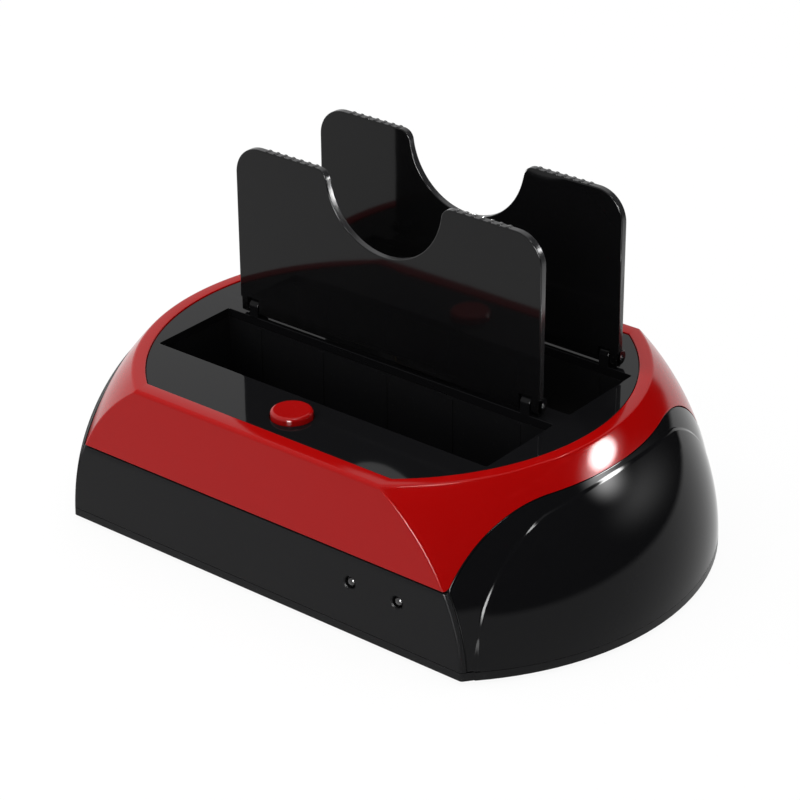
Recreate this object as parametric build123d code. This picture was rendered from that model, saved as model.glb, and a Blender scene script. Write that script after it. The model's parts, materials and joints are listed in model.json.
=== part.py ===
from build123d import *
from math import hypot, radians, sin, sqrt
import os

# Hard drive docking station with two bays, in millimetres.
# X runs along the front from left to right, Y runs to the back and Z runs up.
# The origin is on the table, under the middle of the casing. The pieces are drawn from the
# underside of the base plate up, and are lifted onto the feet when they are written.

# Drives that the bays take
drive_width = 101.6
drive_thickness = 26.1
drive_end_clear = 2.2
drive_face_clear = 0.3
bridge_width = 6.6

# Casing: a dome of revolution, cut off flat at the front and at the back
strip_width = 23.5
plate_margin = 1.5
case_lean = 17.3
case_height = 44.3
flank_radius = 67.6
corner_round = 1.0
crown_round = 0.8
case_wall = 2.4
seam_gap = 0.2
base_thick = 2.2
seam_share = 0.51

# Side covers
cover_wall = 2.4
cover_clear = 0.3
cover_backing = 1.6
cover_setback = 1.3
cover_brow = 6.0
cover_flat = 48.0
cover_arc = 35.4
bulge_proud = 3.1
bulge_axis = 12.0
bulge_arc = 54.0
bulge_raise = 0.3
bulge_foot_share = (0.953, 0.0)
bulge_side_share = (0.933, 0.21)
bulge_hip_share = (0.886, 0.393)
bulge_shoulder_share = (0.736, 0.625)
bulge_neck_share = (0.505, 0.788)
bulge_top_share = 0.842

# Top plate and the rim around it
rim_width = 3.3
rim_front_width = 4.8
plate_gap = 0.2
plate_recess = 0.3
plate_thick = 2.4
ledge_thick = 2.0
ledge_width = 3.0
mouth_chamfer = 0.6

# Bay wells
well_wall = 1.8
well_floor = 1.8
well_rise = 5.2
well_clear = 0.4
guide_width = 1.6
guide_proud = 0.15
guide_count = 5

# Flaps and their hinges
flap_set_in = 4.4
flap_reach = 45.3
flap_thick = 2.0
flap_corner = 8.0
notch_radius = 18.4
notch_mouth = 3.0
grip_pitch = 2.6
grip_radius = 0.45
grip_end = 3.0
hinge_rise = 2.7
hinge_clear = 0.35
knuckle_radius = 2.1
knuckle_width = 2.2
knuckle_inset = 0.4
ear_width = 3.0
ear_gap = 0.3
pin_radius = 0.8
pin_grip = 0.02
pin_play = 0.05
pin_end = 0.3

# Push button, its spring and its switch
button_shift = 0.25
button_share = 0.2892
button_proud = 1.8
button_play = 0.25
button_wall = 1.2
button_round = 0.7
button_roof = 1.6
flange_width = 0.95
flange_thick = 1.0
flange_clear = 0.05
stem_radius = 1.8
button_travel = 0.8
spring_length = 5.0
spring_wire = 0.5
spring_play = 0.3
spring_turns = 4.0
spring_sides = 8
switch_size = 6.0
switch_height = 3.5
plunger_radius = 1.7
plunger_height = 0.3
switch_board_width = 26.0
switch_board_depth = 10.4
switch_board_thick = 1.2
switch_post_x = 10.0
switch_post_radius = 2.2
switch_screw_radius = 0.9
switch_head_radius = 1.8
switch_head_height = 1.2
switch_screw_bite = 4.0

# Lead from the switch board down to the main board
lead_width = 4.0
lead_thick = 1.0
lead_bow = 3.0
lead_round = 2.5
lead_shift = 1.5
header_width = 7.4
header_depth = 4.4
header_height = 4.6

# Indicator lamps
power_lamp_share = 0.4922
activity_lamp_share = 0.7333
lamp_height_share = 0.637
lamp_radius = 1.5
lamp_play = 0.1
lamp_length = 4.4
lamp_sunk = 0.2
lamp_flange_width = 0.4
lamp_flange_thick = 1.0
lamp_leg = 0.5
lamp_leg_pitch = 2.0
lamp_leg_reach = 3.4

# Main board
board_reach_share = 0.782
board_set_in = 7.5
board_thick = 1.6
board_rise = 3.0
board_corner = 2.0
board_boss_clear = 0.6
board_post_end = 4.0
board_post_side = 16.0
board_post_radius = 3.0
board_screw_radius = 1.2
board_head_radius = 2.2
board_head_height = 1.5
board_screw_bite = 3.0

# Drive sockets
socket_proud = 6.0
socket_play = 0.4
sata_width = 43.6
sata_thick = 6.4
sata_set_in = 30.1
sata_shift = -3.0
sata_slot = 2.4
sata_slot_depth = 5.0
sata_key = 1.4
sata_signal_width = 11.0
sata_power_width = 21.5
sata_rib = 2.6
ide_rows = 2
ide_pin_count = 20
ide_pitch = 2.54
ide_border = 3.8
ide_thick = 8.8
ide_end_share = 0.28
ide_shift = 4.2
small_ide_pin_count = 22
small_ide_pitch = 2.0
small_ide_border = 1.6
small_ide_thick = 5.6
small_ide_set_in = 30.8
small_ide_shift = -7.5
pin_hole_share = 0.42
pin_hole_depth = 4.0
ide_power_width = 21.0
ide_power_thick = 8.6
ide_power_end_share = 0.375
ide_power_chamfer = 2.0
ide_power_pitch = 5.08
ide_power_hole = 1.7
ide_power_pin_count = 4

# Parts soldered to the main board
bridge_chip_size = 12.0
bridge_chip_share = 0.478
bridge_chip_y = -16.0
memory_chip_width = 8.0
memory_chip_depth = 5.0
memory_chip_share = 0.739
memory_chip_y = -10.0
chip_height = 1.3
chip_leg_reach = 1.0
chip_leg_height = 0.4
chip_leg_share = 0.8
crystal_width = 10.4
crystal_depth = 4.4
crystal_height = 2.8
crystal_share = 0.478
crystal_y = -4.0
capacitor_radius = 3.15
capacitor_height = 7.2
capacitor_step = 11.0
capacitor_first_share = -0.739
capacitor_count = 3
capacitor_groove = 0.35
capacitor_groove_share = 0.2
coil_radius = 4.2
coil_height = 4.4
coil_core_radius = 2.2
coil_flange = 0.8
coil_share = 0.435
power_row_shift = 0.4

# Sockets in the back wall
back_sunk = 0.1
back_play = 0.25
dc_share = 0.281
dc_width = 10.0
dc_height = 11.0
dc_depth = 13.5
dc_hole = 3.2
dc_hole_depth = 9.5
dc_pin_radius = 1.0
dc_pin_sunk = 1.5
usb_share = -0.066
usb_width = 12.0
usb_height = 10.9
usb_depth = 16.0
usb_wall = 0.5
usb_chamfer = 1.6
usb_cavity_depth = 9.0
usb_tongue_width = 5.6
usb_tongue_height = 3.2
esata_share = -0.413
esata_width = 17.0
esata_height = 6.6
esata_depth = 13.0
esata_mouth_width = 12.0
esata_mouth_height = 3.2
esata_mouth_depth = 7.0
esata_tongue = 1.2
esata_tongue_gap = 0.5

# Power rocker
rocker_share = 0.6375
rocker_rise = 5.6
rocker_half = 5.8
rocker_height = 7.6
rocker_face = 4.2
rocker_dip = 0.7
rocker_heel = 1.5
rocker_throw = 16.0
rocker_axle_radius = 1.0
rocker_axle_length = 0.8
rocker_play = 0.6
rocker_side_play = 0.3
rocker_pivot_depth = 5.3
switch_body_wall = 1.2
switch_body_depth = 11.0
switch_bezel_width = 1.0
switch_bezel_thick = 1.2
switch_floor_clear = 1.0
rocker_window_play = 0.4
terminal_width = 2.9
terminal_thick = 0.8
terminal_pitch = 4.7

# Feet and case screws
foot_radius = 5.0
foot_proud = 1.2
foot_seat = 0.8
foot_play = 0.1
foot_reach_share = 0.885
foot_set_in = 7.5
foot_bevel = 0.4
case_screw_share = 0.77
case_screw_gap = 8.2
case_boss_radius = 3.2
case_cup_wall = 1.3
case_cup_height = 4.6
case_head_radius = 2.9
case_head_height = 1.8
case_head_sunk = 1.0
case_head_play = 0.4
case_screw_radius = 1.4
case_screw_bite = 12.0
screw_play = 0.05
cross_width = 0.7
cross_depth = 0.8

# Top plate screws
plate_screw_share = 0.764
plate_screw_set_in = 2.4
plate_pad_radius = 3.2
plate_screw_radius = 1.1
plate_head_radius = 2.1
plate_head_height = 1.4
plate_screw_bite = 1.5

# Overrun of every cut past the face that it goes through
overrun = 1.0

# Places worked out from the sizes above
bay_length = drive_width + 2 * drive_end_clear
bay_depth = drive_thickness + 2 * drive_face_clear
bay_y = (bridge_width + bay_depth) / 2
bay_far = bay_y + bay_depth / 2
well_far = bay_far + well_wall
half_depth = bay_far + strip_width
plate_radius = hypot(bay_length / 2, bay_far) + plate_margin
crown_radius = plate_radius + plate_gap + rim_width
base_radius = crown_radius + case_lean
reach = 2 * base_radius
shell_seam = case_height * seam_share
cover_top = case_height - cover_brow
bulge_reach = base_radius + bulge_proud
plate_top = case_height - plate_recess
plate_under = plate_top - plate_thick
plate_half = half_depth - rim_front_width - plate_gap
ledge_under = plate_under - ledge_thick
board_under = base_thick + board_rise
board_top = board_under + board_thick
well_base = board_top + well_rise
socket_top = well_base + socket_proud
hinge_z = plate_top + hinge_rise
hinge_y = bay_depth / 2 + knuckle_radius
flap_width = bay_length - 2 * flap_set_in
knuckle_outer = flap_width / 2 - knuckle_inset
knuckle_inner = knuckle_outer - knuckle_width
ear_outer = knuckle_inner - ear_gap
ear_inner = ear_outer - ear_width
button_y = button_shift - (bay_far + plate_half) / 2
button_radius = (plate_half - bay_far) * button_share
flange_radius = button_radius + flange_width
flange_top = plate_under - flange_clear
flange_under = flange_top - flange_thick
switch_board_top = flange_under - spring_length
switch_board_under = switch_board_top - switch_board_thick
board_half_y = half_depth - board_set_in
board_half_x = sqrt((base_radius * board_reach_share) ** 2 - board_half_y ** 2)
board_post_x = board_half_x - board_post_end
board_post_y = board_half_y - board_post_side
power_row_y = power_row_shift - (well_far + board_half_y) / 2
lead_y = button_y - lead_shift
wall_span = sqrt((base_radius - case_wall) ** 2 - half_depth ** 2)
power_lamp_x = wall_span * power_lamp_share
activity_lamp_x = wall_span * activity_lamp_share
lamp_height = shell_seam * lamp_height_share
esata_x = wall_span * esata_share
usb_x = wall_span * usb_share
dc_x = wall_span * dc_share
rocker_x = wall_span * rocker_share
rocker_z = board_top + rocker_rise
foot_y = half_depth - foot_set_in
foot_x = sqrt((base_radius * foot_reach_share) ** 2 - foot_y ** 2)
case_screw_y = well_far + case_screw_gap
case_screw_x = sqrt((base_radius * case_screw_share) ** 2 - case_screw_y ** 2)
plate_screw_x = sqrt(plate_radius ** 2 - plate_half ** 2) * plate_screw_share
sata_x = sata_set_in - drive_width / 2
ide_length = (ide_pin_count - 1) * ide_pitch + 2 * ide_border
ide_spare = drive_width - ide_length - ide_power_width
ide_x = (ide_length - drive_width) / 2 + ide_spare * ide_end_share
ide_power_x = (drive_width - ide_power_width) / 2 - ide_spare * ide_power_end_share
small_ide_length = (small_ide_pin_count - 1) * small_ide_pitch + 2 * small_ide_border
small_ide_x = small_ide_set_in - drive_width / 2
back_face = half_depth - back_sunk
chord_x = (base_radius + crown_radius) / 2
chord_length = hypot(base_radius - crown_radius, case_height)
chord_drop = sqrt(flank_radius ** 2 - (chord_length / 2) ** 2) / chord_length
flank_x = chord_x - chord_drop * case_height
flank_z = case_height / 2 - chord_drop * (base_radius - crown_radius)


def block(left, right, front, back, low, high):
    """A box between two values on each axis."""
    size = Box(right - left, back - front, high - low)
    return Pos((left + right) / 2, (front + back) / 2, (low + high) / 2) * size


def drum(radius, low, high, x=0, y=0):
    """An upright cylinder between two heights."""
    return Pos(x, y, (low + high) / 2) * Cylinder(radius, high - low)


def bar(radius, left, right, y, z):
    """A cylinder that lies along X."""
    return Pos((left + right) / 2, y, z) * Rot(0, 90, 0) * Cylinder(radius, right - left)


def rod(radius, front, back, x, z):
    """A cylinder that lies along Y."""
    return Pos(x, (front + back) / 2, z) * Rot(90, 0, 0) * Cylinder(radius, back - front)


def corners(x, y):
    """The four places at plus and minus x and y."""
    return [(side * x, end * y) for side in (-1, 1) for end in (-1, 1)]


def flank_at(z, inset=0):
    """Plan radius at height z of the dome, or of its face moved in by inset."""
    return flank_x + sqrt((flank_radius - inset) ** 2 - (z - flank_z) ** 2)


def dome(inset, low, high):
    """The round body between two heights, with its flank moved in by inset."""
    middle = (low + high) / 2
    foot = (flank_at(low, inset), low)
    brow = (flank_at(high, inset), high)
    flank = ThreePointArc(foot, (flank_at(middle, inset), middle), brow)
    rest = Polyline(brow, (0, high), (0, low), foot)
    return revolve(Plane.XZ * make_face([flank, rest]), Axis.Z)


def case_form():
    """The outside of the casing, with its corners and its crown rounded."""
    body = dome(0, 0, case_height)
    body = body & block(-reach, reach, -half_depth, half_depth, 0, case_height)
    creases = [
        edge for edge in body.edges()
        if edge.bounding_box().size.Z > case_height / 2 and abs(edge.center().Y) > half_depth / 2
    ]
    body = fillet(creases, corner_round)
    brow = body.faces().sort_by(Axis.Z)[-1].edges()
    return fillet(brow, crown_round)


def cover_outline(grow):
    """Side view of a cover: straight up at its ends, two shoulder arcs and a level top."""
    half = half_depth - cover_setback + grow
    flat = cover_flat / 2
    top = cover_top + grow
    corner = shell_seam + grow
    foot = Polyline((-half, corner), (-half, 0), (half, 0), (half, corner))
    back = RadiusArc((half, corner), (flat, top), -cover_arc)
    brow = Line((flat, top), (-flat, top))
    front = RadiusArc((-flat, top), (-half, corner), -cover_arc)
    return Plane.YZ * make_face([foot, back, brow, front])


def cover_zone(grow):
    """The space that both covers take in side view, right through the casing."""
    return extrude(cover_outline(grow), amount=reach, both=True)


def bulge_outline():
    """Side view of the raised part of a cover."""
    def at(share):
        return (share[0] * half_depth, share[1] * case_height)

    def mirrored(point):
        return (-point[0], point[1])

    foot, side, hip = at(bulge_foot_share), at(bulge_side_share), at(bulge_hip_share)
    shoulder, neck = at(bulge_shoulder_share), at(bulge_neck_share)
    top = (0, bulge_top_share * case_height)
    lines = [
        Line(mirrored(foot), foot),
        ThreePointArc(foot, side, hip),
        ThreePointArc(hip, shoulder, neck),
        ThreePointArc(neck, top, mirrored(neck)),
        ThreePointArc(mirrored(neck), mirrored(shoulder), mirrored(hip)),
        ThreePointArc(mirrored(hip), mirrored(side), mirrored(foot)),
    ]
    return make_face(lines)


def bulge(inset):
    """The swelling of the right cover, on an upright axis of its own, moved in by inset."""
    top = bulge_top_share * case_height
    foot = (bulge_reach - bulge_axis - inset, 0)
    brow = (flank_at(top) - bulge_axis + bulge_raise - inset, top)
    flank = RadiusArc(foot, brow, -bulge_arc)
    rest = Polyline(brow, (0, top), (0, 0), foot)
    body = Pos(bulge_axis, 0, 0) * revolve(Plane.XZ * make_face([flank, rest]), Axis.Z)
    outline = bulge_outline()
    if inset:
        outline = offset(outline, amount=-inset)
    side = extrude(Plane.YZ * outline, amount=reach)
    return body & side & block(crown_radius / 2, reach, -half_depth, half_depth, 0, top)


def case_slice(form, low, high):
    """The casing's own walls between two heights, with pockets for the side covers."""
    back_inset = cover_wall + cover_clear
    inner = half_depth - case_wall
    room = dome(case_wall, 0, ledge_under) & block(-reach, reach, -inner, inner, 0, ledge_under)
    backing = cover_zone(seam_gap + case_wall) - dome(back_inset + cover_backing, 0, case_height)
    pocket = cover_zone(seam_gap) - dome(back_inset, 0, case_height)
    part = form & block(-reach, reach, -reach, reach, low, high)
    return part - (room - backing) - pocket


def base_plate(form, swelling):
    """Flat floor with screw cups, foot seats and the posts that carry the main board."""
    floor = form + swelling + mirror(swelling, about=Plane.YZ)
    floor = floor & block(-reach, reach, -reach, reach, 0, base_thick)
    cup_radius = case_head_radius + case_head_play + case_cup_wall
    seat_depth = case_head_sunk + case_head_height
    for x, y in corners(case_screw_x, case_screw_y):
        floor = floor + drum(cup_radius, 0, case_cup_height, x, y)
        floor = floor - drum(case_head_radius + case_head_play, 0, seat_depth, x, y)
        floor = floor - drum(case_screw_radius + case_head_play, 0, case_cup_height, x, y)
    for x, y in corners(board_post_x, board_post_y):
        floor = floor + drum(board_post_radius, 0, board_under, x, y)
        hole_low = board_under - board_screw_bite
        floor = floor - drum(board_screw_radius + screw_play, hole_low, board_under, x, y)
    for x, y in corners(foot_x, foot_y):
        floor = floor - drum(foot_radius + foot_play, 0, foot_seat, x, y)
    return floor


def rubber_feet():
    """Four round pads, half sunk in the base plate."""
    feet = []
    for x, y in corners(foot_x, foot_y):
        pad = drum(foot_radius, -foot_proud, foot_seat, x, y)
        feet.append(chamfer(pad.edges().group_by(Axis.Z)[0], foot_bevel))
    return Compound(feet)


def lower_case(form):
    """Black front and back walls, with the inner side walls behind the covers."""
    shell = case_slice(form, base_thick + seam_gap, shell_seam - seam_gap)
    cut_inner, cut_outer = half_depth - case_wall - overrun, half_depth + overrun
    for x in (power_lamp_x, activity_lamp_x):
        shell = shell - rod(lamp_radius + lamp_play, -cut_outer, -cut_inner, x, lamp_height)
    low, high = board_top - back_play, board_top + usb_height + back_play
    half = usb_width / 2 + back_play
    shell = shell - block(usb_x - half, usb_x + half, cut_inner, cut_outer, low, high)
    high = board_top + esata_height + back_play
    half = esata_width / 2 + back_play
    shell = shell - block(esata_x - half, esata_x + half, cut_inner, cut_outer, low, high)
    high = board_top + dc_height + back_play
    half = dc_width / 2 + back_play
    shell = shell - block(dc_x - half, dc_x + half, cut_inner, cut_outer, low, high)
    half = rocker_half + rocker_play + rocker_window_play
    tall = rocker_height / 2 + rocker_side_play + rocker_window_play
    low, high = rocker_z - tall, rocker_z + tall
    return shell - block(rocker_x - half, rocker_x + half, cut_inner, cut_outer, low, high)


def plate_outline(grow):
    """Plan of the top plate: a circle with its front and back cut off."""
    half = plate_half + grow
    return Circle(plate_radius + grow) & Rectangle(reach, 2 * half)


def plate_slab(grow, low, high):
    """The plate's plan, made larger by grow, between two heights."""
    return Pos(0, 0, low) * extrude(plate_outline(grow), amount=high - low)


def well_block(index, grow, low, high):
    """The outside of one bay well, made larger by grow."""
    half_x = bay_length / 2 + well_wall + grow
    half_y = bay_depth / 2 + well_wall + grow
    y = index * bay_y
    return block(-half_x, half_x, y - half_y, y + half_y, low, high)


def plate_screw_places():
    """Where the top plate is screwed to the ledge, from below."""
    return corners(plate_screw_x, plate_half + plate_gap - plate_screw_set_in)


def upper_shell(form):
    """Red shell: front and back walls, the shoulders, the rim, and the ledge for the top plate."""
    shell = case_slice(form, shell_seam, case_height)
    shell = shell - plate_slab(plate_gap, plate_under, case_height + overrun)
    hole = plate_slab(plate_gap - ledge_width, ledge_under - overrun, plate_under + overrun)
    shell = shell - hole
    for x, y in plate_screw_places():
        shell = shell + drum(plate_pad_radius, ledge_under, plate_under, x, y)
    for index in (-1, 1):
        shell = shell - well_block(index, well_clear, ledge_under - overrun, plate_under)
    sweep_radius = flange_radius + button_play
    shell = shell - drum(sweep_radius, ledge_under - overrun, plate_under, 0, button_y)
    boss_foot = case_cup_height + seam_gap
    for x, y in corners(case_screw_x, case_screw_y):
        shell = shell + drum(case_boss_radius, boss_foot, ledge_under + ledge_thick / 2, x, y)
        hole_top = boss_foot + case_screw_bite + overrun
        shell = shell - drum(case_screw_radius + screw_play, boss_foot - overrun, hole_top, x, y)
    for x, y in plate_screw_places():
        hole_radius = plate_screw_radius + button_play
        shell = shell - drum(hole_radius, ledge_under - overrun, plate_under + overrun, x, y)
    return shell


def side_cover(form, swelling):
    """Gloss cover over the right end, with the raised lens and hollow behind."""
    skin = (form & cover_zone(0)) + swelling
    skin = skin - dome(cover_wall, 0, case_height) - bulge(cover_wall)
    foot = base_thick + seam_gap
    return skin & block(crown_radius / 2, reach, -reach, reach, foot, case_height)


def ear(side, index):
    """Hinge ear that stands on the top plate, with a round head about the hinge axis."""
    left, right = sorted((side * ear_inner, side * ear_outer))
    y = index * bay_y + hinge_y
    leg = block(left, right, y - knuckle_radius, y + knuckle_radius, plate_top, hinge_z)
    head = bar(knuckle_radius, left, right, y, hinge_z)
    eye = bar(pin_radius + pin_grip, left - overrun, right + overrun, y, hinge_z)
    return leg + head - eye


def top_plate():
    """Gloss plate with two bay mouths, the button hole, hinge ears and switch board posts."""
    plate = plate_slab(0, plate_under, plate_top)
    for index in (-1, 1):
        y = index * bay_y
        half_x, half_y = bay_length / 2, bay_depth / 2
        plate = plate - block(
            -half_x, half_x, y - half_y, y + half_y, plate_under - overrun, plate_top + overrun
        )
    mouth_edges = [
        edge for edge in plate.faces().sort_by(Axis.Z)[-1].edges()
        if edge.geom_type == GeomType.LINE and abs(edge.center().Y) < half_depth - rim_front_width * 2
    ]
    plate = chamfer(mouth_edges, mouth_chamfer)
    hole_radius = button_radius + button_play
    plate = plate - drum(hole_radius, plate_under - overrun, plate_top + overrun, 0, button_y)
    for side in (-1, 1):
        x = side * switch_post_x
        plate = plate + drum(switch_post_radius, switch_board_top, plate_under, x, button_y)
        bore = switch_screw_radius + screw_play
        hole_top = switch_board_top + switch_screw_bite
        plate = plate - drum(bore, switch_board_top - overrun, hole_top, x, button_y)
        for index in (-1, 1):
            plate = plate + ear(side, index)
    for x, y in plate_screw_places():
        bore = plate_screw_radius + screw_play
        plate = plate - drum(bore, plate_under - overrun, plate_under + plate_screw_bite, x, y)
    return plate


def bay_well(index, sockets):
    """Open box under a bay mouth, with guide ribs on its long walls and holes for sockets."""
    well = well_block(index, 0, well_base - well_floor, plate_under)
    y = index * bay_y
    half_x, half_y = bay_length / 2, bay_depth / 2
    well = well - block(-half_x, half_x, y - half_y, y + half_y, well_base, plate_under + overrun)
    step = bay_length / guide_count
    for number in range(guide_count):
        x = -half_x + (number + 1 / 2) * step
        for end in (-1, 1):
            front, back = sorted((y + end * (half_y - guide_proud), y + end * (half_y + guide_proud)))
            left, right = x - guide_width / 2, x + guide_width / 2
            well = well + block(left, right, front, back, well_base, plate_under - mouth_chamfer)
    for x, centre, width, thick in sockets:
        half_w, half_t = width / 2 + socket_play, thick / 2 + socket_play
        low, high = well_base - well_floor - overrun, well_base + overrun
        well = well - block(x - half_w, x + half_w, centre - half_t, centre + half_t, low, high)
    return well


def flap_outline():
    """Front view of a flap about its hinge axis: round top corners and a half-round notch."""
    foot = -knuckle_radius - hinge_clear
    height = flap_reach - foot
    sheet = Pos(0, foot + height / 2) * Rectangle(flap_width, height)
    sheet = sheet - Pos(0, flap_reach) * Circle(notch_radius)
    top = sheet.vertices().group_by(Axis.Y)[-1]
    outer = [vertex for vertex in top if abs(vertex.X) > (flap_width / 2 + notch_radius) / 2]
    sheet = fillet(outer, flap_corner)
    near_top = [
        vertex for vertex in sheet.vertices()
        if abs(abs(vertex.X) - notch_radius) < notch_mouth / 2 and vertex.Y > flap_reach - notch_mouth
    ]
    return fillet(near_top, notch_mouth)


def flap():
    """One guard flap about its hinge axis, with knuckles, ear slots and a ribbed top edge."""
    front, back = -knuckle_radius, flap_thick - knuckle_radius
    sheet = extrude(Plane.XZ.offset(-back) * flap_outline(), amount=flap_thick)
    grips = int((flap_width / 2 - flap_corner - notch_radius - notch_mouth - grip_end) / grip_pitch)
    first = (flap_width / 2 - flap_corner + notch_radius + notch_mouth - grips * grip_pitch) / 2
    for side in (-1, 1):
        for number in range(grips + 1):
            x = side * (first + number * grip_pitch)
            sheet = sheet + rod(grip_radius, front, back, x, flap_reach)
    heel = block(-reach, reach, front - overrun, back + overrun, -reach, 0)
    sheet = sheet - (heel - bar(hinge_rise - hinge_clear, -reach, reach, 0, 0))
    for side in (-1, 1):
        left, right = sorted((side * knuckle_outer, side * reach))
        sheet = sheet - block(left, right, front - overrun, back + overrun, -reach, knuckle_radius)
        left, right = sorted((side * (ear_inner - ear_gap), side * (ear_outer + ear_gap)))
        slot_top = knuckle_radius + ear_gap
        sheet = sheet - block(left, right, front - overrun, back + overrun, -reach, slot_top)
        left, right = sorted((side * knuckle_inner, side * knuckle_outer))
        sheet = sheet + bar(knuckle_radius, left, right, 0, 0)
        sheet = sheet - bar(pin_radius + pin_play, left - overrun, right + overrun, 0, 0)
    return sheet


def hinge_pins():
    """Two short pins about the hinge axis, from an ear into a knuckle."""
    pins = []
    for side in (-1, 1):
        left, right = sorted((side * (ear_inner + pin_end), side * (knuckle_outer - pin_end)))
        pins.append(bar(pin_radius, left, right, 0, 0))
    return Compound(pins)


def push_button():
    """Round red cap with a flange that holds it under the plate, and a stem for the switch."""
    top = plate_top + button_proud
    cap = drum(button_radius, flange_under, top, 0, button_y)
    cap = fillet(cap.edges().group_by(Axis.Z)[-1], button_round)
    cap = cap + drum(flange_radius, flange_under, flange_top, 0, button_y)
    inner = button_radius - button_wall
    cap = cap - drum(inner, flange_under - overrun, top - button_roof, 0, button_y)
    switch_top = switch_board_top + switch_height + plunger_height
    stem_foot = switch_top + button_travel + flange_clear
    return cap + drum(stem_radius, stem_foot, top - button_roof / 2, 0, button_y)


def button_spring():
    """Compression spring between the switch board and the button's flange."""
    inner = hypot(switch_size / 2, switch_size / 2) + spring_play
    centre = inner + spring_wire / 2
    rise = spring_length - spring_wire - 2 * flange_clear
    path = Helix(rise / spring_turns, rise, centre)
    start = Plane(origin=path @ 0, z_dir=path % 0)
    coil = sweep(start * RegularPolygon(spring_wire / 2, spring_sides), path=path)
    return Pos(0, button_y, switch_board_top + spring_wire / 2 + flange_clear) * coil


def push_switch():
    """Square push switch with a round plunger."""
    half = switch_size / 2
    top = switch_board_top + switch_height
    body = block(-half, half, button_y - half, button_y + half, switch_board_top, top)
    return body + drum(plunger_radius, top, top + plunger_height, 0, button_y)


def switch_board():
    """Small circuit board under the button, screwed to the plate's two posts."""
    half_x, half_y = switch_board_width / 2, switch_board_depth / 2
    board = block(
        -half_x, half_x, button_y - half_y, button_y + half_y, switch_board_under, switch_board_top
    )
    for side in (-1, 1):
        hole = switch_screw_radius + button_play
        x = side * switch_post_x
        low, high = switch_board_under - overrun, switch_board_top + overrun
        board = board - drum(hole, low, high, x, button_y)
    return board


def screw_up(x, y, seat, head_radius, head_height, shank_radius, shank):
    """A screw driven upwards, its head under seat, with a cross recess in the head."""
    low = seat - head_height
    body = drum(head_radius, low, seat, x, y) + drum(shank_radius, seat, seat + shank, x, y)
    half, arm = cross_width / 2, head_radius / 2
    deep = low + cross_depth
    body = body - block(x - arm, x + arm, y - half, y + half, low, deep)
    return body - block(x - half, x + half, y - arm, y + arm, low, deep)


def switch_screws():
    """Two screws that hold the switch board."""
    shank = switch_board_thick + switch_screw_bite - flange_clear
    return Compound([
        screw_up(
            side * switch_post_x, button_y, switch_board_under, switch_head_radius,
            switch_head_height, switch_screw_radius, shank,
        )
        for side in (-1, 1)
    ])


def plate_screws():
    """Four screws that hold the top plate to the ledge."""
    shank = ledge_thick + plate_screw_bite - flange_clear
    return Compound([
        screw_up(
            x, y, ledge_under, plate_head_radius, plate_head_height, plate_screw_radius, shank
        )
        for x, y in plate_screw_places()
    ])


def case_screws():
    """Four long screws up through the base plate's cups into the shell's bosses."""
    seat = case_head_sunk + case_head_height
    shank = case_cup_height + seam_gap + case_screw_bite - seat
    return Compound([
        screw_up(x, y, seat, case_head_radius, case_head_height, case_screw_radius, shank)
        for x, y in corners(case_screw_x, case_screw_y)
    ])


def board_screws():
    """Four screws down through the main board into the base plate's posts."""
    screws = []
    for x, y in corners(board_post_x, board_post_y):
        shank = board_thick + board_screw_bite - flange_clear
        screw = screw_up(
            0, 0, 0, board_head_radius, board_head_height, board_screw_radius, shank
        )
        screws.append(Pos(x, y, board_top) * Rot(180, 0, 0) * screw)
    return Compound(screws)


def switch_lead():
    """Flat lead from the switch board to its header, with a bow towards the front."""
    low, high = board_top + header_height, switch_board_under
    drop = (high - low) / 4
    points = [
        (lead_y, high), (lead_y, high - drop), (lead_y - lead_bow, high - 2 * drop),
        (lead_y, high - 3 * drop), (lead_y, low),
    ]
    path = FilletPolyline(*points, radius=lead_round)
    band = Plane.YZ * trace(path, lead_thick)
    strip = Pos(-lead_width / 2, 0, 0) * extrude(band, amount=lead_width)
    return strip & block(-reach, reach, -reach, reach, low, high)


def lead_header():
    """Pin header on the main board that the lead plugs into."""
    half_x, half_y = header_width / 2, header_depth / 2
    top = board_top + header_height
    return block(-half_x, half_x, lead_y - half_y, lead_y + half_y, board_top, top)


def lamp(x):
    """Round-nosed lamp behind its hole, with two bent legs down to the main board."""
    tip = -half_depth + lamp_sunk
    back = tip + lamp_length
    body = rod(lamp_radius, tip + lamp_radius, back, x, lamp_height)
    body = body + Pos(x, tip + lamp_radius, lamp_height) * Sphere(lamp_radius)
    flange_back = back + lamp_flange_thick
    body = body + rod(lamp_radius + lamp_flange_width, back, flange_back, x, lamp_height)
    half = lamp_leg / 2
    for side in (-1, 1):
        centre = x + side * lamp_leg_pitch / 2
        end = flange_back + lamp_leg_reach
        low, high = lamp_height - half, lamp_height + half
        body = body + block(centre - half, centre + half, flange_back, end, low, high)
        body = body + block(centre - half, centre + half, end - lamp_leg, end, board_top, high)
    return body


def main_board():
    """Circuit board with rounded corners, bitten out round the case bosses."""
    outline = RectangleRounded(2 * board_half_x, 2 * board_half_y, board_corner)
    board = Pos(0, 0, board_under) * extrude(outline, amount=board_thick)
    low, high = board_under - overrun, board_top + overrun
    for x, y in corners(case_screw_x, case_screw_y):
        board = board - drum(case_boss_radius + board_boss_clear, low, high, x, y)
    for x, y in corners(board_post_x, board_post_y):
        board = board - drum(board_screw_radius + button_play, low, high, x, y)
    return board


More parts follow.
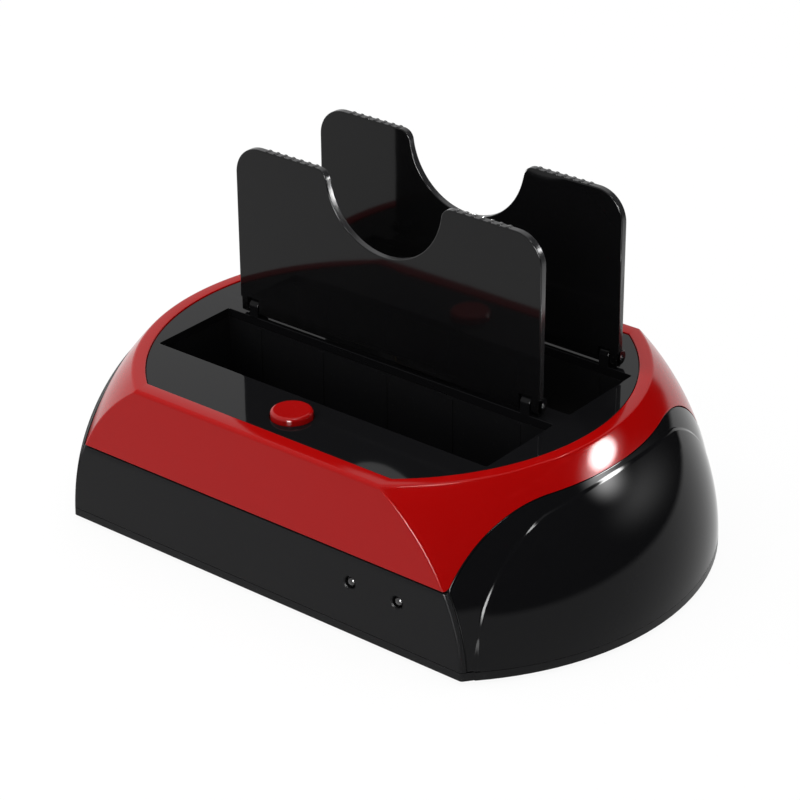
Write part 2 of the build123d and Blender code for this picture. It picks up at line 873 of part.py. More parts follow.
def sata_socket():
    """Drive socket with a signal slot and a power slot, each with its keyed end."""
    y = -bay_y + sata_shift
    half_x, half_y = sata_width / 2, sata_thick / 2
    body = block(sata_x - half_x, sata_x + half_x, y - half_y, y + half_y, board_top, socket_top)
    low = socket_top - sata_slot_depth
    total = sata_signal_width + sata_rib + sata_power_width
    left, right = sata_x - total / 2, sata_x + total / 2
    half = sata_slot / 2
    slots = [(left, left + sata_signal_width), (right - sata_power_width, right)]
    for left, right in slots:
        body = body - block(left, right, y - half, y + half, low, socket_top + overrun)
        key = block(right - sata_slot, right, y - half - sata_key, y, low, socket_top + overrun)
        body = body - key
    return body


def pin_socket(x, y, pins, pitch, length, thick):
    """Two-row socket with a square hole for each drive pin."""
    half_x, half_y = length / 2, thick / 2
    body = block(x - half_x, x + half_x, y - half_y, y + half_y, board_top, socket_top)
    half = pin_hole_share * pitch / 2
    low = socket_top - pin_hole_depth
    holes = []
    for row in range(ide_rows):
        hole_y = y + (row - (ide_rows - 1) / 2) * pitch
        for number in range(pins):
            hole_x = x + (number - (pins - 1) / 2) * pitch
            holes.append(block(
                hole_x - half, hole_x + half, hole_y - half, hole_y + half, low, socket_top + overrun
            ))
    return body - holes


def ide_power_socket():
    """Four-way power socket with two cut corners and round contacts."""
    y = bay_y + ide_shift
    half_x, half_y = ide_power_width / 2, ide_power_thick / 2
    left, right = ide_power_x - half_x, ide_power_x + half_x
    body = block(left, right, y - half_y, y + half_y, board_top, socket_top)
    body = chamfer(body.edges().filter_by(Axis.Z).group_by(Axis.Y)[0], ide_power_chamfer)
    for number in range(ide_power_pin_count):
        x = ide_power_x + (number - (ide_power_pin_count - 1) / 2) * ide_power_pitch
        body = body - drum(ide_power_hole, socket_top - pin_hole_depth, socket_top + overrun, x, y)
    return body


def chip(share, y, width, depth):
    """Flat chip on a skirt of legs, at a share of the way from the board's middle to its end."""
    x = board_half_x * share
    half_x, half_y = width / 2, depth / 2
    top = board_top + chip_height
    body = block(x - half_x, x + half_x, y - half_y, y + half_y, board_top, top)
    left, right = x - half_x - chip_leg_reach, x + half_x + chip_leg_reach
    front, back = y - half_y - chip_leg_reach, y + half_y + chip_leg_reach
    leg_top = board_top + chip_leg_height
    side_x, side_y = half_x * chip_leg_share, half_y * chip_leg_share
    body = body + block(left, right, y - side_y, y + side_y, board_top, leg_top)
    return body + block(x - side_x, x + side_x, front, back, board_top, leg_top)


def crystal():
    """Low metal can with round ends."""
    can = extrude(SlotOverall(crystal_width, crystal_depth), amount=crystal_height)
    return Pos(board_half_x * crystal_share, crystal_y, board_top) * can


def capacitors():
    """A row of round capacitors, each with its rolled groove near the foot."""
    cans = []
    groove_low = board_top + capacitor_height * capacitor_groove_share
    groove_high = groove_low + capacitor_groove
    for number in range(capacitor_count):
        x = board_half_x * capacitor_first_share + number * capacitor_step
        can = drum(capacitor_radius, board_top, board_top + capacitor_height, x, power_row_y)
        ring = drum(capacitor_radius + overrun, groove_low, groove_high, x, power_row_y)
        neck = drum(capacitor_radius - capacitor_groove, groove_low, groove_high, x, power_row_y)
        cans.append(can - (ring - neck))
    return Compound(cans)


def coil():
    """Power coil: two round flanges on a wound core."""
    x = board_half_x * coil_share
    top = board_top + coil_height
    body = drum(coil_radius, board_top, board_top + coil_flange, x, power_row_y)
    body = body + drum(coil_core_radius, board_top, top, x, power_row_y)
    return body + drum(coil_radius, top - coil_flange, top, x, power_row_y)


def dc_inlet():
    """Moulded inlet with a round mouth."""
    half = dc_width / 2
    back = back_face
    body = block(dc_x - half, dc_x + half, back - dc_depth, back, board_top, board_top + dc_height)
    mouth = rod(dc_hole, back - dc_hole_depth, back + overrun, dc_x, board_top + dc_height / 2)
    return body - mouth


def dc_inlet_pin():
    """Centre pin of the inlet."""
    front, back = back_face - dc_hole_depth, back_face - dc_pin_sunk
    return rod(dc_pin_radius, front, back, dc_x, board_top + dc_height / 2)


def usb_profile(grow):
    """Face of the square USB socket, with its two upper corners cut."""
    width, height = usb_width + 2 * grow, usb_height + 2 * grow
    face = Pos(usb_x, board_top + usb_height / 2) * Rectangle(width, height)
    return chamfer(face.vertices().group_by(Axis.Y)[-1], usb_chamfer + grow)


def usb_shell():
    """Folded metal can round the USB socket."""
    can = Plane.XZ.offset(-back_face) * usb_profile(0)
    inner = Plane.XZ.offset(-back_face - overrun) * usb_profile(-usb_wall)
    body = extrude(can, amount=usb_depth)
    return body - extrude(inner, amount=usb_depth - usb_wall + overrun)


def usb_insert():
    """Insulator inside the can, with the tongue that carries the contacts."""
    front = back_face - usb_depth + usb_wall
    face = Plane.XZ.offset(-(back_face - usb_cavity_depth)) * usb_profile(-usb_wall - screw_play)
    body = extrude(face, amount=usb_depth - usb_cavity_depth - usb_wall)
    half_w, half_h = usb_tongue_width / 2, usb_tongue_height / 2
    z = board_top + usb_height / 2
    end = back_face - usb_wall
    return body + block(usb_x - half_w, usb_x + half_w, front, end, z - half_h, z + half_h)


def esata_socket():
    """Low drive data socket with a keyed slot and its tongue."""
    half = esata_width / 2
    top = board_top + esata_height
    body = block(esata_x - half, esata_x + half, back_face - esata_depth, back_face, board_top, top)
    half_w, half_h = esata_mouth_width / 2, esata_mouth_height / 2
    z = board_top + esata_height / 2
    front = back_face - esata_mouth_depth
    low, high = z - half_h, z + half_h
    body = body - block(esata_x - half_w, esata_x + half_w, front, back_face + overrun, low, high)
    left, right = esata_x - half_w + esata_tongue, esata_x + half_w - esata_tongue
    tongue_top = high - esata_tongue_gap
    tongue_low = tongue_top - esata_tongue
    return body + block(left, right, front, back_face - esata_tongue_gap, tongue_low, tongue_top)


def rocker_axis():
    """Where the rocker's upright axis stands in plan."""
    return rocker_x, half_depth - rocker_pivot_depth


def power_rocker():
    """Rocker with a hollow face, tilted to off, on two stub axles."""
    outline = Polyline(
        (-rocker_half, -rocker_heel), (-rocker_half, rocker_face), (0, rocker_face - rocker_dip),
        (rocker_half, rocker_face), (rocker_half, -rocker_heel), close=True,
    )
    tall = rocker_height / 2
    body = Pos(0, 0, -tall) * extrude(make_face(outline), amount=rocker_height)
    body = body + drum(rocker_axle_radius, -tall - rocker_axle_length, tall + rocker_axle_length)
    x, y = rocker_axis()
    return Pos(x, y, rocker_z) * Rot(0, 0, -rocker_throw / 2) * body


def rocker_housing():
    """Frame that snaps in behind the back wall and holds the rocker's axles."""
    x, y = rocker_axis()
    face = half_depth - case_wall - screw_play
    half = rocker_half + rocker_play
    tall = rocker_height / 2 + rocker_side_play
    floor = y - rocker_heel - rocker_half * sin(radians(rocker_throw / 2)) - switch_floor_clear
    back = face - switch_body_depth
    outer_x, outer_z = half + switch_body_wall, tall + switch_body_wall
    low, high = rocker_z - outer_z, rocker_z + outer_z
    body = block(x - outer_x, x + outer_x, back, face, low, high)
    rim_x, rim_z = outer_x + switch_bezel_width, outer_z + switch_bezel_width
    low, high = rocker_z - rim_z, rocker_z + rim_z
    body = body + block(x - rim_x, x + rim_x, face - switch_bezel_thick, face, low, high)
    low, high = rocker_z - tall, rocker_z + tall
    body = body - block(x - half, x + half, floor, face + overrun, low, high)
    axle = rocker_axle_radius + pin_play
    eye_reach = tall + switch_body_wall + overrun
    return body - drum(axle, rocker_z - eye_reach, rocker_z + eye_reach, x, y)


def rocker_terminals():
    """Three flat terminals behind the rocker's housing, down to the main board."""
    back = half_depth - case_wall - screw_play - switch_body_depth
    half = terminal_width / 2
    tabs = []
    for number in (-1, 0, 1):
        x = rocker_x + number * terminal_pitch
        tabs.append(block(x - half, x + half, back - terminal_thick, back, board_top, rocker_z))
    return Compound(tabs)


def ide_places():
    """Sockets that come up through the rear well's floor: x, y, length and width."""
    return [
        (ide_x, bay_y + ide_shift, ide_length, ide_thick),
        (small_ide_x, bay_y + small_ide_shift, small_ide_length, small_ide_thick),
        (ide_power_x, bay_y + ide_shift, ide_power_width, ide_power_thick),
    ]


def build():
    """Every piece of the dock, by the name of its file."""
    form = case_form()
    swelling = bulge(0)
    right_cover = side_cover(form, swelling)
    one_flap = flap()
    pins = hinge_pins()
    front_axis = Pos(0, hinge_y - bay_y, hinge_z)
    rear_axis = Pos(0, hinge_y + bay_y, hinge_z)
    return {
        "base_plate": base_plate(form, swelling),
        "rubber_feet": rubber_feet(),
        "lower_case": lower_case(form),
        "upper_shell": upper_shell(form),
        "side_cover_right": right_cover,
        "side_cover_left": mirror(right_cover, about=Plane.YZ),
        "top_plate": top_plate(),
        "front_well": bay_well(-1, [(sata_x, -bay_y + sata_shift, sata_width, sata_thick)]),
        "rear_well": bay_well(1, ide_places()),
        "front_flap": front_axis * one_flap,
        "rear_flap": rear_axis * one_flap,
        "front_hinge_pins": front_axis * pins,
        "rear_hinge_pins": rear_axis * pins,
        "push_button": push_button(),
        "button_spring": button_spring(),
        "push_switch": push_switch(),
        "switch_board": switch_board(),
        "switch_screws": switch_screws(),
        "switch_lead": switch_lead(),
        "lead_header": lead_header(),
        "power_lamp": lamp(power_lamp_x),
        "activity_lamp": lamp(activity_lamp_x),
        "main_board": main_board(),
        "sata_socket": sata_socket(),
        "ide_socket": pin_socket(
            ide_x, bay_y + ide_shift, ide_pin_count, ide_pitch, ide_length, ide_thick
        ),
        "small_ide_socket": pin_socket(
            small_ide_x, bay_y + small_ide_shift, small_ide_pin_count, small_ide_pitch,
            small_ide_length, small_ide_thick,
        ),
        "ide_power_socket": ide_power_socket(),
        "bridge_chip": chip(bridge_chip_share, bridge_chip_y, bridge_chip_size, bridge_chip_size),
        "memory_chip": chip(memory_chip_share, memory_chip_y, memory_chip_width, memory_chip_depth),
        "crystal": crystal(),
        "capacitors": capacitors(),
        "coil": coil(),
        "dc_inlet": dc_inlet(),
        "dc_inlet_pin": dc_inlet_pin(),
        "usb_shell": usb_shell(),
        "usb_insert": usb_insert(),
        "esata_socket": esata_socket(),
        "power_rocker": power_rocker(),
        "rocker_housing": rocker_housing(),
        "rocker_terminals": rocker_terminals(),
        "case_screws": case_screws(),
        "board_screws": board_screws(),
        "plate_screws": plate_screws(),
    }


os.makedirs("parts", exist_ok=True)
for name, piece in build().items():
    lifted = Pos(0, 0, foot_proud) * piece
    export_step(lifted, f"parts/{name}.step")
    print(name, len(lifted.solids()), round(lifted.volume, 1))
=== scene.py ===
import json
import logging
import math
from dataclasses import dataclass
from enum import Enum
from functools import cache
from typing import Iterable, Sequence

import bmesh
import bpy
import numpy as np
from mathutils import Matrix, Vector


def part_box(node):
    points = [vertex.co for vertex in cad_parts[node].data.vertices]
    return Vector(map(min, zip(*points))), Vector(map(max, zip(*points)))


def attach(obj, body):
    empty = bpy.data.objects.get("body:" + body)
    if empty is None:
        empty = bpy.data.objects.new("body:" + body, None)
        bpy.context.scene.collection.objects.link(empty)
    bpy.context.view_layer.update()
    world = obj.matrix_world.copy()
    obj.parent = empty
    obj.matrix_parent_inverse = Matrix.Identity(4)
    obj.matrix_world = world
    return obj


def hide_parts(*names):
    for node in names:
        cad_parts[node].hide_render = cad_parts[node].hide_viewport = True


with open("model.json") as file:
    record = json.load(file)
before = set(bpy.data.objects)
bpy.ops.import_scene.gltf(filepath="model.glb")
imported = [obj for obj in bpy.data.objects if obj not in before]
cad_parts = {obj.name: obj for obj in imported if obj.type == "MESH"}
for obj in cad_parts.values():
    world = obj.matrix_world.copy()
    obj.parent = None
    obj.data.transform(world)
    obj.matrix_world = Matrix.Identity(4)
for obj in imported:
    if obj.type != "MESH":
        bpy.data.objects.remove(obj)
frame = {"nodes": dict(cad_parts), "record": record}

log = logging.getLogger("dock")

Point = tuple[float, float, float]
Flat = tuple[float, float]

MM = 0.001
FOOT_RISE = 1.2
CASING = "casing"
HALF_PI = math.pi / 2
WELD, SLIVER, ON_AXIS = 1e-7, 1e-8, 1e-6
SHARP = 35.0
FLOAT = "NodeSocketFloat"


class Finish(Enum):
    """Every finish that a piece of the dock may wear, by the record's slot."""

    CASE_BLACK = "black_case"
    SHELL_RED = "red_shell"
    GLOSS_BLACK = "black_gloss"
    FLAP_BLACK = "flap_black"
    BUTTON_RED = "red_button"
    FOOT_RUBBER = "foot_rubber"
    PIN_STEEL = "pin_steel"
    SCREW_STEEL = "screw_steel"
    BOARD_GREEN = "board_green"
    SOCKET_BLACK = "socket_black"
    SOCKET_WHITE = "socket_white"
    LAMP_SMOKE = "lamp_smoke"
    CHIP_BLACK = "chip_black"
    CAN_METAL = "can_metal"
    LEAD_GREY = "lead_grey"


# ---------------------------------------------------------------- node trees


@dataclass(frozen=True)
class Wiring:
    """A node tree with short ways to add, set and link its nodes."""

    tree: bpy.types.NodeTree

    def feed(self, target: bpy.types.Node, inputs: dict[str | int, object]) -> None:
        """Set a node's inputs to values, or link them where sockets are given."""
        for key, value in inputs.items():
            if isinstance(value, bpy.types.NodeSocket):
                self.tree.links.new(value, target.inputs[key])
            else:
                target.inputs[key].default_value = value

    def add(self, kind: str, inputs: dict[str | int, object] | None = None,
            **settings: object) -> bpy.types.Node:
        """Add a node.

        Args:
            kind: Type name of the node.
            inputs: Values or sockets for its inputs, by name or number.
            **settings: Its own properties, set before the inputs.

        Returns:
            The node.
        """
        made = self.tree.nodes.new(kind)
        for key, value in settings.items():
            setattr(made, key, value)
        self.feed(made, inputs or {})
        return made

    def out(self, kind: str, output: str, inputs: dict[str | int, object] | None = None,
            **settings: object) -> bpy.types.NodeSocket:
        """Add a node and give the named one of its outputs."""
        return self.add(kind, inputs, **settings).outputs[output]

    def calc(self, operation: str, *values: object) -> bpy.types.NodeSocket:
        """The result of a new math node."""
        return self.out("ShaderNodeMath", "Value", dict(enumerate(values)), operation=operation)

    def vector(self, operation: str, output: str, *values: object) -> bpy.types.NodeSocket:
        """The result of a new vector math node."""
        return self.out("ShaderNodeVectorMath", output, dict(enumerate(values)),
                        operation=operation)

    def tint(self, share: object, first: object, second: object) -> bpy.types.NodeSocket:
        """A colour between two others."""
        return self.out("ShaderNodeMix", "Result", {"Factor": share, "A": first, "B": second},
                        data_type="RGBA")

    def step(self, value: bpy.types.NodeSocket, low: float, high: float,
             shape: str = "SMOOTHSTEP") -> bpy.types.NodeSocket:
        """A step of a value from 0 at low to 1 at high, smooth or LINEAR."""
        return self.out("ShaderNodeMapRange", "Result",
                        {"Value": value, "From Min": low, "From Max": high},
                        interpolation_type=shape)

    def here(self) -> bpy.types.NodeSocket:
        """The object's own coordinates."""
        return self.out("ShaderNodeTexCoord", "Object")

    def noise(self, scale: object, **more: float) -> bpy.types.NodeSocket:
        """Noise on the object's own coordinates."""
        return self.out("ShaderNodeTexNoise", "Fac",
                        {"Vector": self.here(), "Scale": scale, **more})

    def use(self, tree: bpy.types.NodeTree, **inputs: float) -> bpy.types.NodeOutputs:
        """The outputs of a new node that holds a group."""
        return self.add("ShaderNodeGroup", inputs, node_tree=tree).outputs

    def relief(self, depth: float, height: bpy.types.NodeSocket) -> bpy.types.NodeSocket:
        """The normal of a height field with a depth in metres."""
        return self.out("ShaderNodeBump", "Normal", {"Distance": depth, "Height": height})

    def mixed(self, share: bpy.types.NodeSocket, first: bpy.types.NodeSocket,
              second: bpy.types.NodeSocket) -> bpy.types.NodeSocket:
        """A shader between two others."""
        return self.out("ShaderNodeMixShader", "Shader", {"Fac": share, 1: first, 2: second})


def new_group(kind: str, name: str, outputs: dict[str, str],
              inputs: dict[str, tuple[str, object]]) -> tuple[Wiring, bpy.types.NodeOutputs]:
    """Make a node group with its interface.

    Args:
        kind: Type name of the tree.
        name: Name of the group.
        outputs: Output names with their socket types.
        inputs: Input names with their socket types and first values.

    Returns:
        The group's wiring and the outputs of its input node.
    """
    tree = bpy.data.node_groups.new(name, kind)
    for label, socket_type in outputs.items():
        tree.interface.new_socket(label, in_out="OUTPUT", socket_type=socket_type)
    for label, (socket_type, value) in inputs.items():
        socket = tree.interface.new_socket(label, in_out="INPUT", socket_type=socket_type)
        if value is not None:
            socket.default_value = value
    return Wiring(tree), tree.nodes.new("NodeGroupInput").outputs


def new_material(name: str, bare: bool = False) -> tuple[bpy.types.Material, Wiring]:
    """A material and its wiring, with no nodes in it yet where it is bare."""
    made = bpy.data.materials.new(name)
    made.use_nodes = True
    if bare:
        made.node_tree.nodes.clear()
    return made, Wiring(made.node_tree)


class ShaderGroups:
    """Shader node groups that several finishes share, each built once."""

    @staticmethod
    @cache
    def grain() -> bpy.types.NodeTree:
        """Moulded grain: a fine height field on the object's own coordinates."""
        wires, give = new_group("ShaderNodeTree", "moulded_grain", {"Height": FLOAT},
                                {"Scale": (FLOAT, 900.0), "Waviness": (FLOAT, 0.2)})
        wires.add("NodeGroupOutput", {"Height": wires.out("ShaderNodeMix", "Result", {
            "Factor": give["Waviness"], "A": wires.noise(give["Scale"], Detail=3.0),
            "B": wires.noise(70.0, Detail=1.0)})})
        return wires.tree

    @staticmethod
    @cache
    def handling() -> bpy.types.NodeTree:
        """Handling marks: roughness that drifts in soft patches, with fine dust specks."""
        wires, give = new_group(
            "ShaderNodeTree", "handling_marks", {"Roughness": FLOAT, "Dust": FLOAT},
            {"Roughness": (FLOAT, 0.1), "Smudge": (FLOAT, 0.05), "Dust": (FLOAT, 0.1)})
        patch = wires.noise(45.0, Detail=5.0)
        pick = wires.step(wires.noise(1400.0, Detail=1.0), 0.68, 0.78, "LINEAR")
        smear = wires.calc("MULTIPLY_ADD", patch, give["Smudge"], give["Roughness"])
        dust = wires.calc("MULTIPLY", pick, give["Dust"])
        wires.add("NodeGroupOutput",
                  {"Roughness": wires.calc("MULTIPLY_ADD", dust, 0.5, smear), "Dust": dust})
        return wires.tree

    @staticmethod
    @cache
    def edge_wear() -> bpy.types.NodeTree:
        """Edge wear: a mask that is high on outward edges, broken up by noise."""
        wires, give = new_group("ShaderNodeTree", "edge_wear", {"Mask": FLOAT},
                                {"Amount": (FLOAT, 0.3)})
        edge = wires.step(wires.out("ShaderNodeNewGeometry", "Pointiness"), 0.52, 0.68, "LINEAR")
        broken = wires.calc("MULTIPLY", edge, wires.noise(220.0))
        wires.add("NodeGroupOutput", {"Mask": wires.calc("MULTIPLY", broken, give["Amount"])})
        return wires.tree


# ---------------------------------------------------------------- finishes


@dataclass(frozen=True)
class Moulding:
    """A moulded plastic or rubber finish.

    Attributes:
        colour: Linear base colour.
        roughness: Mean roughness.
        smudge: How far the roughness drifts in patches.
        dust: How much fine dust lies on it.
        grain_scale: Frequency of the moulded grain.
        grain_depth: Depth of the grain in metres.
        waviness: Share of the slow waviness in the grain.
        wear: Amount of lighter edge wear.
        worn: Colour of the worn edges.
        coat: Weight of the clear top layer.
        ior: Index of refraction.
        dust_colour: Colour of the dust.
    """

    colour: Point
    roughness: float
    smudge: float = 0.05
    dust: float = 0.05
    grain_scale: float = 900.0
    grain_depth: float = 0.00001
    waviness: float = 0.3
    wear: float = 0.15
    worn: Point = (0.2, 0.2, 0.2)
    coat: float = 0.0
    ior: float = 1.46
    dust_colour: Point = (0.35, 0.34, 0.33)

    def material(self, name: str) -> bpy.types.Material:
        """Build the finish as a material of this name."""
        made, wires = new_material(name)
        marks = wires.use(ShaderGroups.handling(), Roughness=self.roughness, Smudge=self.smudge,
                          Dust=self.dust)
        grain = wires.use(ShaderGroups.grain(), Scale=self.grain_scale, Waviness=self.waviness)
        edge = wires.use(ShaderGroups.edge_wear(), Amount=self.wear)
        tone = wires.tint(edge["Mask"], (*self.colour, 1.0), (*self.worn, 1.0))
        wires.feed(wires.tree.nodes["Principled BSDF"], {
            "IOR": self.ior, "Coat Weight": self.coat, "Coat Roughness": 0.04,
            "Base Color": wires.tint(marks["Dust"], tone, (*self.dust_colour, 1.0)),
            "Roughness": marks["Roughness"],
            "Normal": wires.relief(self.grain_depth, grain["Height"])})
        return made


@dataclass(frozen=True)
class Metal:
    """A bare or plated metal finish.

    Attributes:
        colour: Linear base colour.
        roughness: Mean roughness.
        brushing: Depth of fine lines in metres.
        tarnish: Colour of the dull patches.
        smudge: How far the roughness drifts in patches.
        dust: How much of it is dull.
    """

    colour: Point
    roughness: float = 0.28
    brushing: float = 0.000004
    tarnish: Point = (0.25, 0.24, 0.22)
    smudge: float = 0.18
    dust: float = 0.3

    def material(self, name: str) -> bpy.types.Material:
        """Build the finish as a material of this name."""
        made, wires = new_material(name)
        marks = wires.use(ShaderGroups.handling(), Roughness=self.roughness, Smudge=self.smudge,
                          Dust=self.dust)
        grain = wires.use(ShaderGroups.grain(), Scale=2600.0, Waviness=0.1)
        wires.feed(wires.tree.nodes["Principled BSDF"], {
            "Metallic": 1.0, "Roughness": marks["Roughness"],
            "Base Color": wires.tint(marks["Dust"], (*self.colour, 1.0), (*self.tarnish, 1.0)),
            "Normal": wires.relief(self.brushing, grain["Height"])})
        return made


@dataclass(frozen=True)
class BoardLaminate:
    """Green circuit board with copper tracks under the lacquer.

    Attributes:
        lacquer: Colour of the lacquer over bare laminate.
        track: Colour of the lacquer over copper.
        pitch: Tracks per metre.
        roughness: Mean roughness.
        relief: Height of the tracks in metres.
    """

    lacquer: Point = (0.006, 0.075, 0.028)
    track: Point = (0.02, 0.17, 0.065)
    pitch: float = 260.0
    roughness: float = 0.25
    relief: float = 0.00003

    def material(self, name: str) -> bpy.types.Material:
        """Build the finish as a material of this name."""
        made, wires = new_material(name)
        cells = wires.add("ShaderNodeTexBrick", {
            "Vector": wires.here(), "Scale": self.pitch,
            "Color1": (*self.lacquer, 1.0), "Color2": (*self.track, 1.0),
            "Mortar": (*self.lacquer, 1.0), "Mortar Size": 0.12, "Row Height": 0.3,
            "Brick Width": 3.2}).outputs
        wires.feed(wires.tree.nodes["Principled BSDF"], {
            "Base Color": cells["Color"],
            "Roughness": wires.use(ShaderGroups.handling(), Roughness=self.roughness)["Roughness"],
            "Normal": wires.relief(self.relief, cells["Fac"])})
        return made


Recipe = Moulding | Metal | BoardLaminate

FINISHES: dict[Finish, Recipe] = {
    Finish.CASE_BLACK: Moulding(
        (0.0055, 0.0055, 0.006), 0.26, smudge=0.10, dust=0.02, grain_scale=2600.0,
        grain_depth=0.00002, waviness=0.05, wear=0.10, worn=(0.08, 0.08, 0.08), ior=1.19),
    Finish.SHELL_RED: Moulding(
        (0.31, 0.0012, 0.001), 0.11, smudge=0.05, dust=0.006, grain_scale=420.0,
        grain_depth=0.000005, waviness=0.7, wear=0.10, worn=(0.60, 0.02, 0.02), ior=1.235),
    Finish.GLOSS_BLACK: Moulding(
        (0.0045, 0.0045, 0.005), 0.03, smudge=0.04, dust=0.003, grain_scale=300.0,
        grain_depth=0.000004, waviness=0.8, wear=0.05, worn=(0.06, 0.06, 0.06), ior=1.205),
    Finish.FLAP_BLACK: Moulding(
        (0.0042, 0.0042, 0.0045), 0.04, smudge=0.04, dust=0.003, grain_scale=350.0,
        grain_depth=0.000004, waviness=0.7, wear=0.10, worn=(0.08, 0.08, 0.08), ior=1.28),
    Finish.BUTTON_RED: Moulding(
        (0.29, 0.002, 0.002), 0.09, smudge=0.05, dust=0.02, grain_scale=900.0,
        grain_depth=0.000006, waviness=0.3, wear=0.2, worn=(0.60, 0.05, 0.04), ior=1.33),
    Finish.FOOT_RUBBER: Moulding(
        (0.016, 0.016, 0.016), 0.62, smudge=0.15, dust=0.5, grain_scale=1700.0,
        grain_depth=0.00003, waviness=0.1, wear=0.4),
    Finish.PIN_STEEL: Metal((0.50, 0.50, 0.52), 0.22),
    Finish.SCREW_STEEL: Metal((0.34, 0.34, 0.36), 0.32),
    Finish.BOARD_GREEN: BoardLaminate(),
    Finish.SOCKET_BLACK: Moulding(
        (0.010, 0.010, 0.010), 0.42, smudge=0.1, dust=0.2, grain_scale=2200.0,
        grain_depth=0.00002),
    Finish.SOCKET_WHITE: Moulding(
        (0.62, 0.60, 0.54), 0.45, smudge=0.1, dust=0.15, grain_scale=2200.0,
        grain_depth=0.00002, worn=(0.8, 0.78, 0.72)),
    Finish.LAMP_SMOKE: Moulding(
        (0.014, 0.013, 0.014), 0.06, smudge=0.02, dust=0.01, grain_scale=300.0,
        grain_depth=0.000004, coat=0.3, ior=1.45),
    Finish.CHIP_BLACK: Moulding(
        (0.014, 0.014, 0.015), 0.55, smudge=0.1, dust=0.2, grain_scale=3000.0,
        grain_depth=0.00002),
    Finish.CAN_METAL: Metal((0.60, 0.60, 0.62), 0.26),
    Finish.LEAD_GREY: Moulding(
        (0.26, 0.26, 0.28), 0.5, smudge=0.1, dust=0.2, grain_scale=1500.0,
        grain_depth=0.00002),
}

# Painted sheen: a lighter, glossier copy of the flaps' black plastic, worn by their narrow edges in
# place of the light they catch.
FLAP_EDGE_SHEEN = Moulding(
    (0.018, 0.018, 0.019), 0.2, smudge=0.1, dust=0.02, grain_scale=2400.0,
    grain_depth=0.000015, waviness=0.1, wear=0.1, ior=1.4)
CONTACT_GOLD = Metal((0.78, 0.52, 0.18), 0.2)


class Wardrobe:
    """Builds each finish's material once and hands it out."""

    @staticmethod
    @cache
    def _once(name: str, recipe: Recipe) -> bpy.types.Material:
        """A recipe's material, built when it is first asked for."""
        return recipe.material(name)

    def get(self, finish: Finish) -> bpy.types.Material:
        """The material of a record slot's finish."""
        return self._once(f"{finish.value}_finish", FINISHES[finish])

    def flap_edge_sheen(self) -> bpy.types.Material:
        """Lighter, glossier copy of the flap plastic for the flaps' narrow edges: a painted sheen
        for the light that they catch.
        """
        return self._once("flap_edge_sheen_finish", FLAP_EDGE_SHEEN)

    def contact_gold(self) -> bpy.types.Material:
        """Gold plating of the sockets' contacts."""
        return self._once("contact_gold", CONTACT_GOLD)


WARDROBE = Wardrobe()


# ---------------------------------------------------------------- mesh making


def in_frame(points: np.ndarray | Sequence[float]) -> np.ndarray:
    """Points in millimetres above the base's underside, as metres above the table."""
    return (np.asarray(points, float) + np.array([0.0, 0.0, FOOT_RISE])) * MM


def smooth(mesh: bpy.types.Mesh, angle: float) -> None:
    """Shade a mesh smooth, with edges past an angle in degrees left sharp."""
    mesh.polygons.foreach_set("use_smooth", [True] * len(mesh.polygons))
    mesh.set_sharp_from_angle(angle=math.radians(angle))
    mesh.update()


def mend(mesh: bpy.types.Mesh, sharp_angle: float, drop_slivers: bool) -> None:
    """Weld a mesh, turn its faces outwards and shade it, and drop slivers where asked to."""
    work = bmesh.new()
    work.from_mesh(mesh)
    bmesh.ops.remove_doubles(work, verts=work.verts, dist=WELD)
    if drop_slivers:
        bmesh.ops.dissolve_degenerate(work, edges=work.edges, dist=SLIVER)
    bmesh.ops.recalc_face_normals(work, faces=work.faces)
    work.to_mesh(mesh)
    work.free()
    smooth(mesh, sharp_angle)


def placed(name: str, data: bpy.types.ID | None) -> bpy.types.Object:
    """A new object in the scene, at the origin."""
    made = bpy.data.objects.new(name, data)
    bpy.context.scene.collection.objects.link(made)
    return made


def new_object(name: str, points: np.ndarray, faces: Iterable[Sequence[int]],
               sharp_angle: float = SHARP) -> bpy.types.Object:
    """Make a smooth-shaded mesh object.

    Args:
        name: Name of the object.
        points: Vertices in metres.
        faces: Vertex numbers of each face.
        sharp_angle: Edges that turn more than this many degrees are sharp.

    Returns:
        The object, linked to the scene.
    """
    mesh = bpy.data.meshes.new(name)
    mesh.from_pydata([tuple(p) for p in points], [], [tuple(f) for f in faces])
    mend(mesh, sharp_angle, drop_slivers=True)
    return placed(name, mesh)


def settle(made: bpy.types.Object) -> bpy.types.Object:
    """Replace an object's mesh by its evaluated one and drop its modifiers."""
    bpy.context.view_layer.update()
    graph = bpy.context.evaluated_depsgraph_get()
    mesh = bpy.data.meshes.new_from_object(made.evaluated_get(graph))
    mesh.name = made.name
    if made.type == "MESH":
        made.modifiers.clear()
        made.data = mesh
        return made
    name = made.name
    bpy.data.objects.remove(made)
    return placed(name, mesh)


def joined(name: str, parts: Sequence[bpy.types.Object]) -> bpy.types.Object:
    """Join mesh objects at the origin into one of a new name, keeping their shading."""
    first = parts[0]
    with bpy.context.temp_override(active_object=first, object=first, selected_objects=list(parts),
                                   selected_editable_objects=list(parts)):
        bpy.ops.object.join()
    first.name = name
    first.data.name = name
    return first


def turned(angle: float, axis: str) -> Matrix:
    """A turn by an angle in degrees about an axis."""
    return Matrix.Rotation(math.radians(angle), 4, axis)


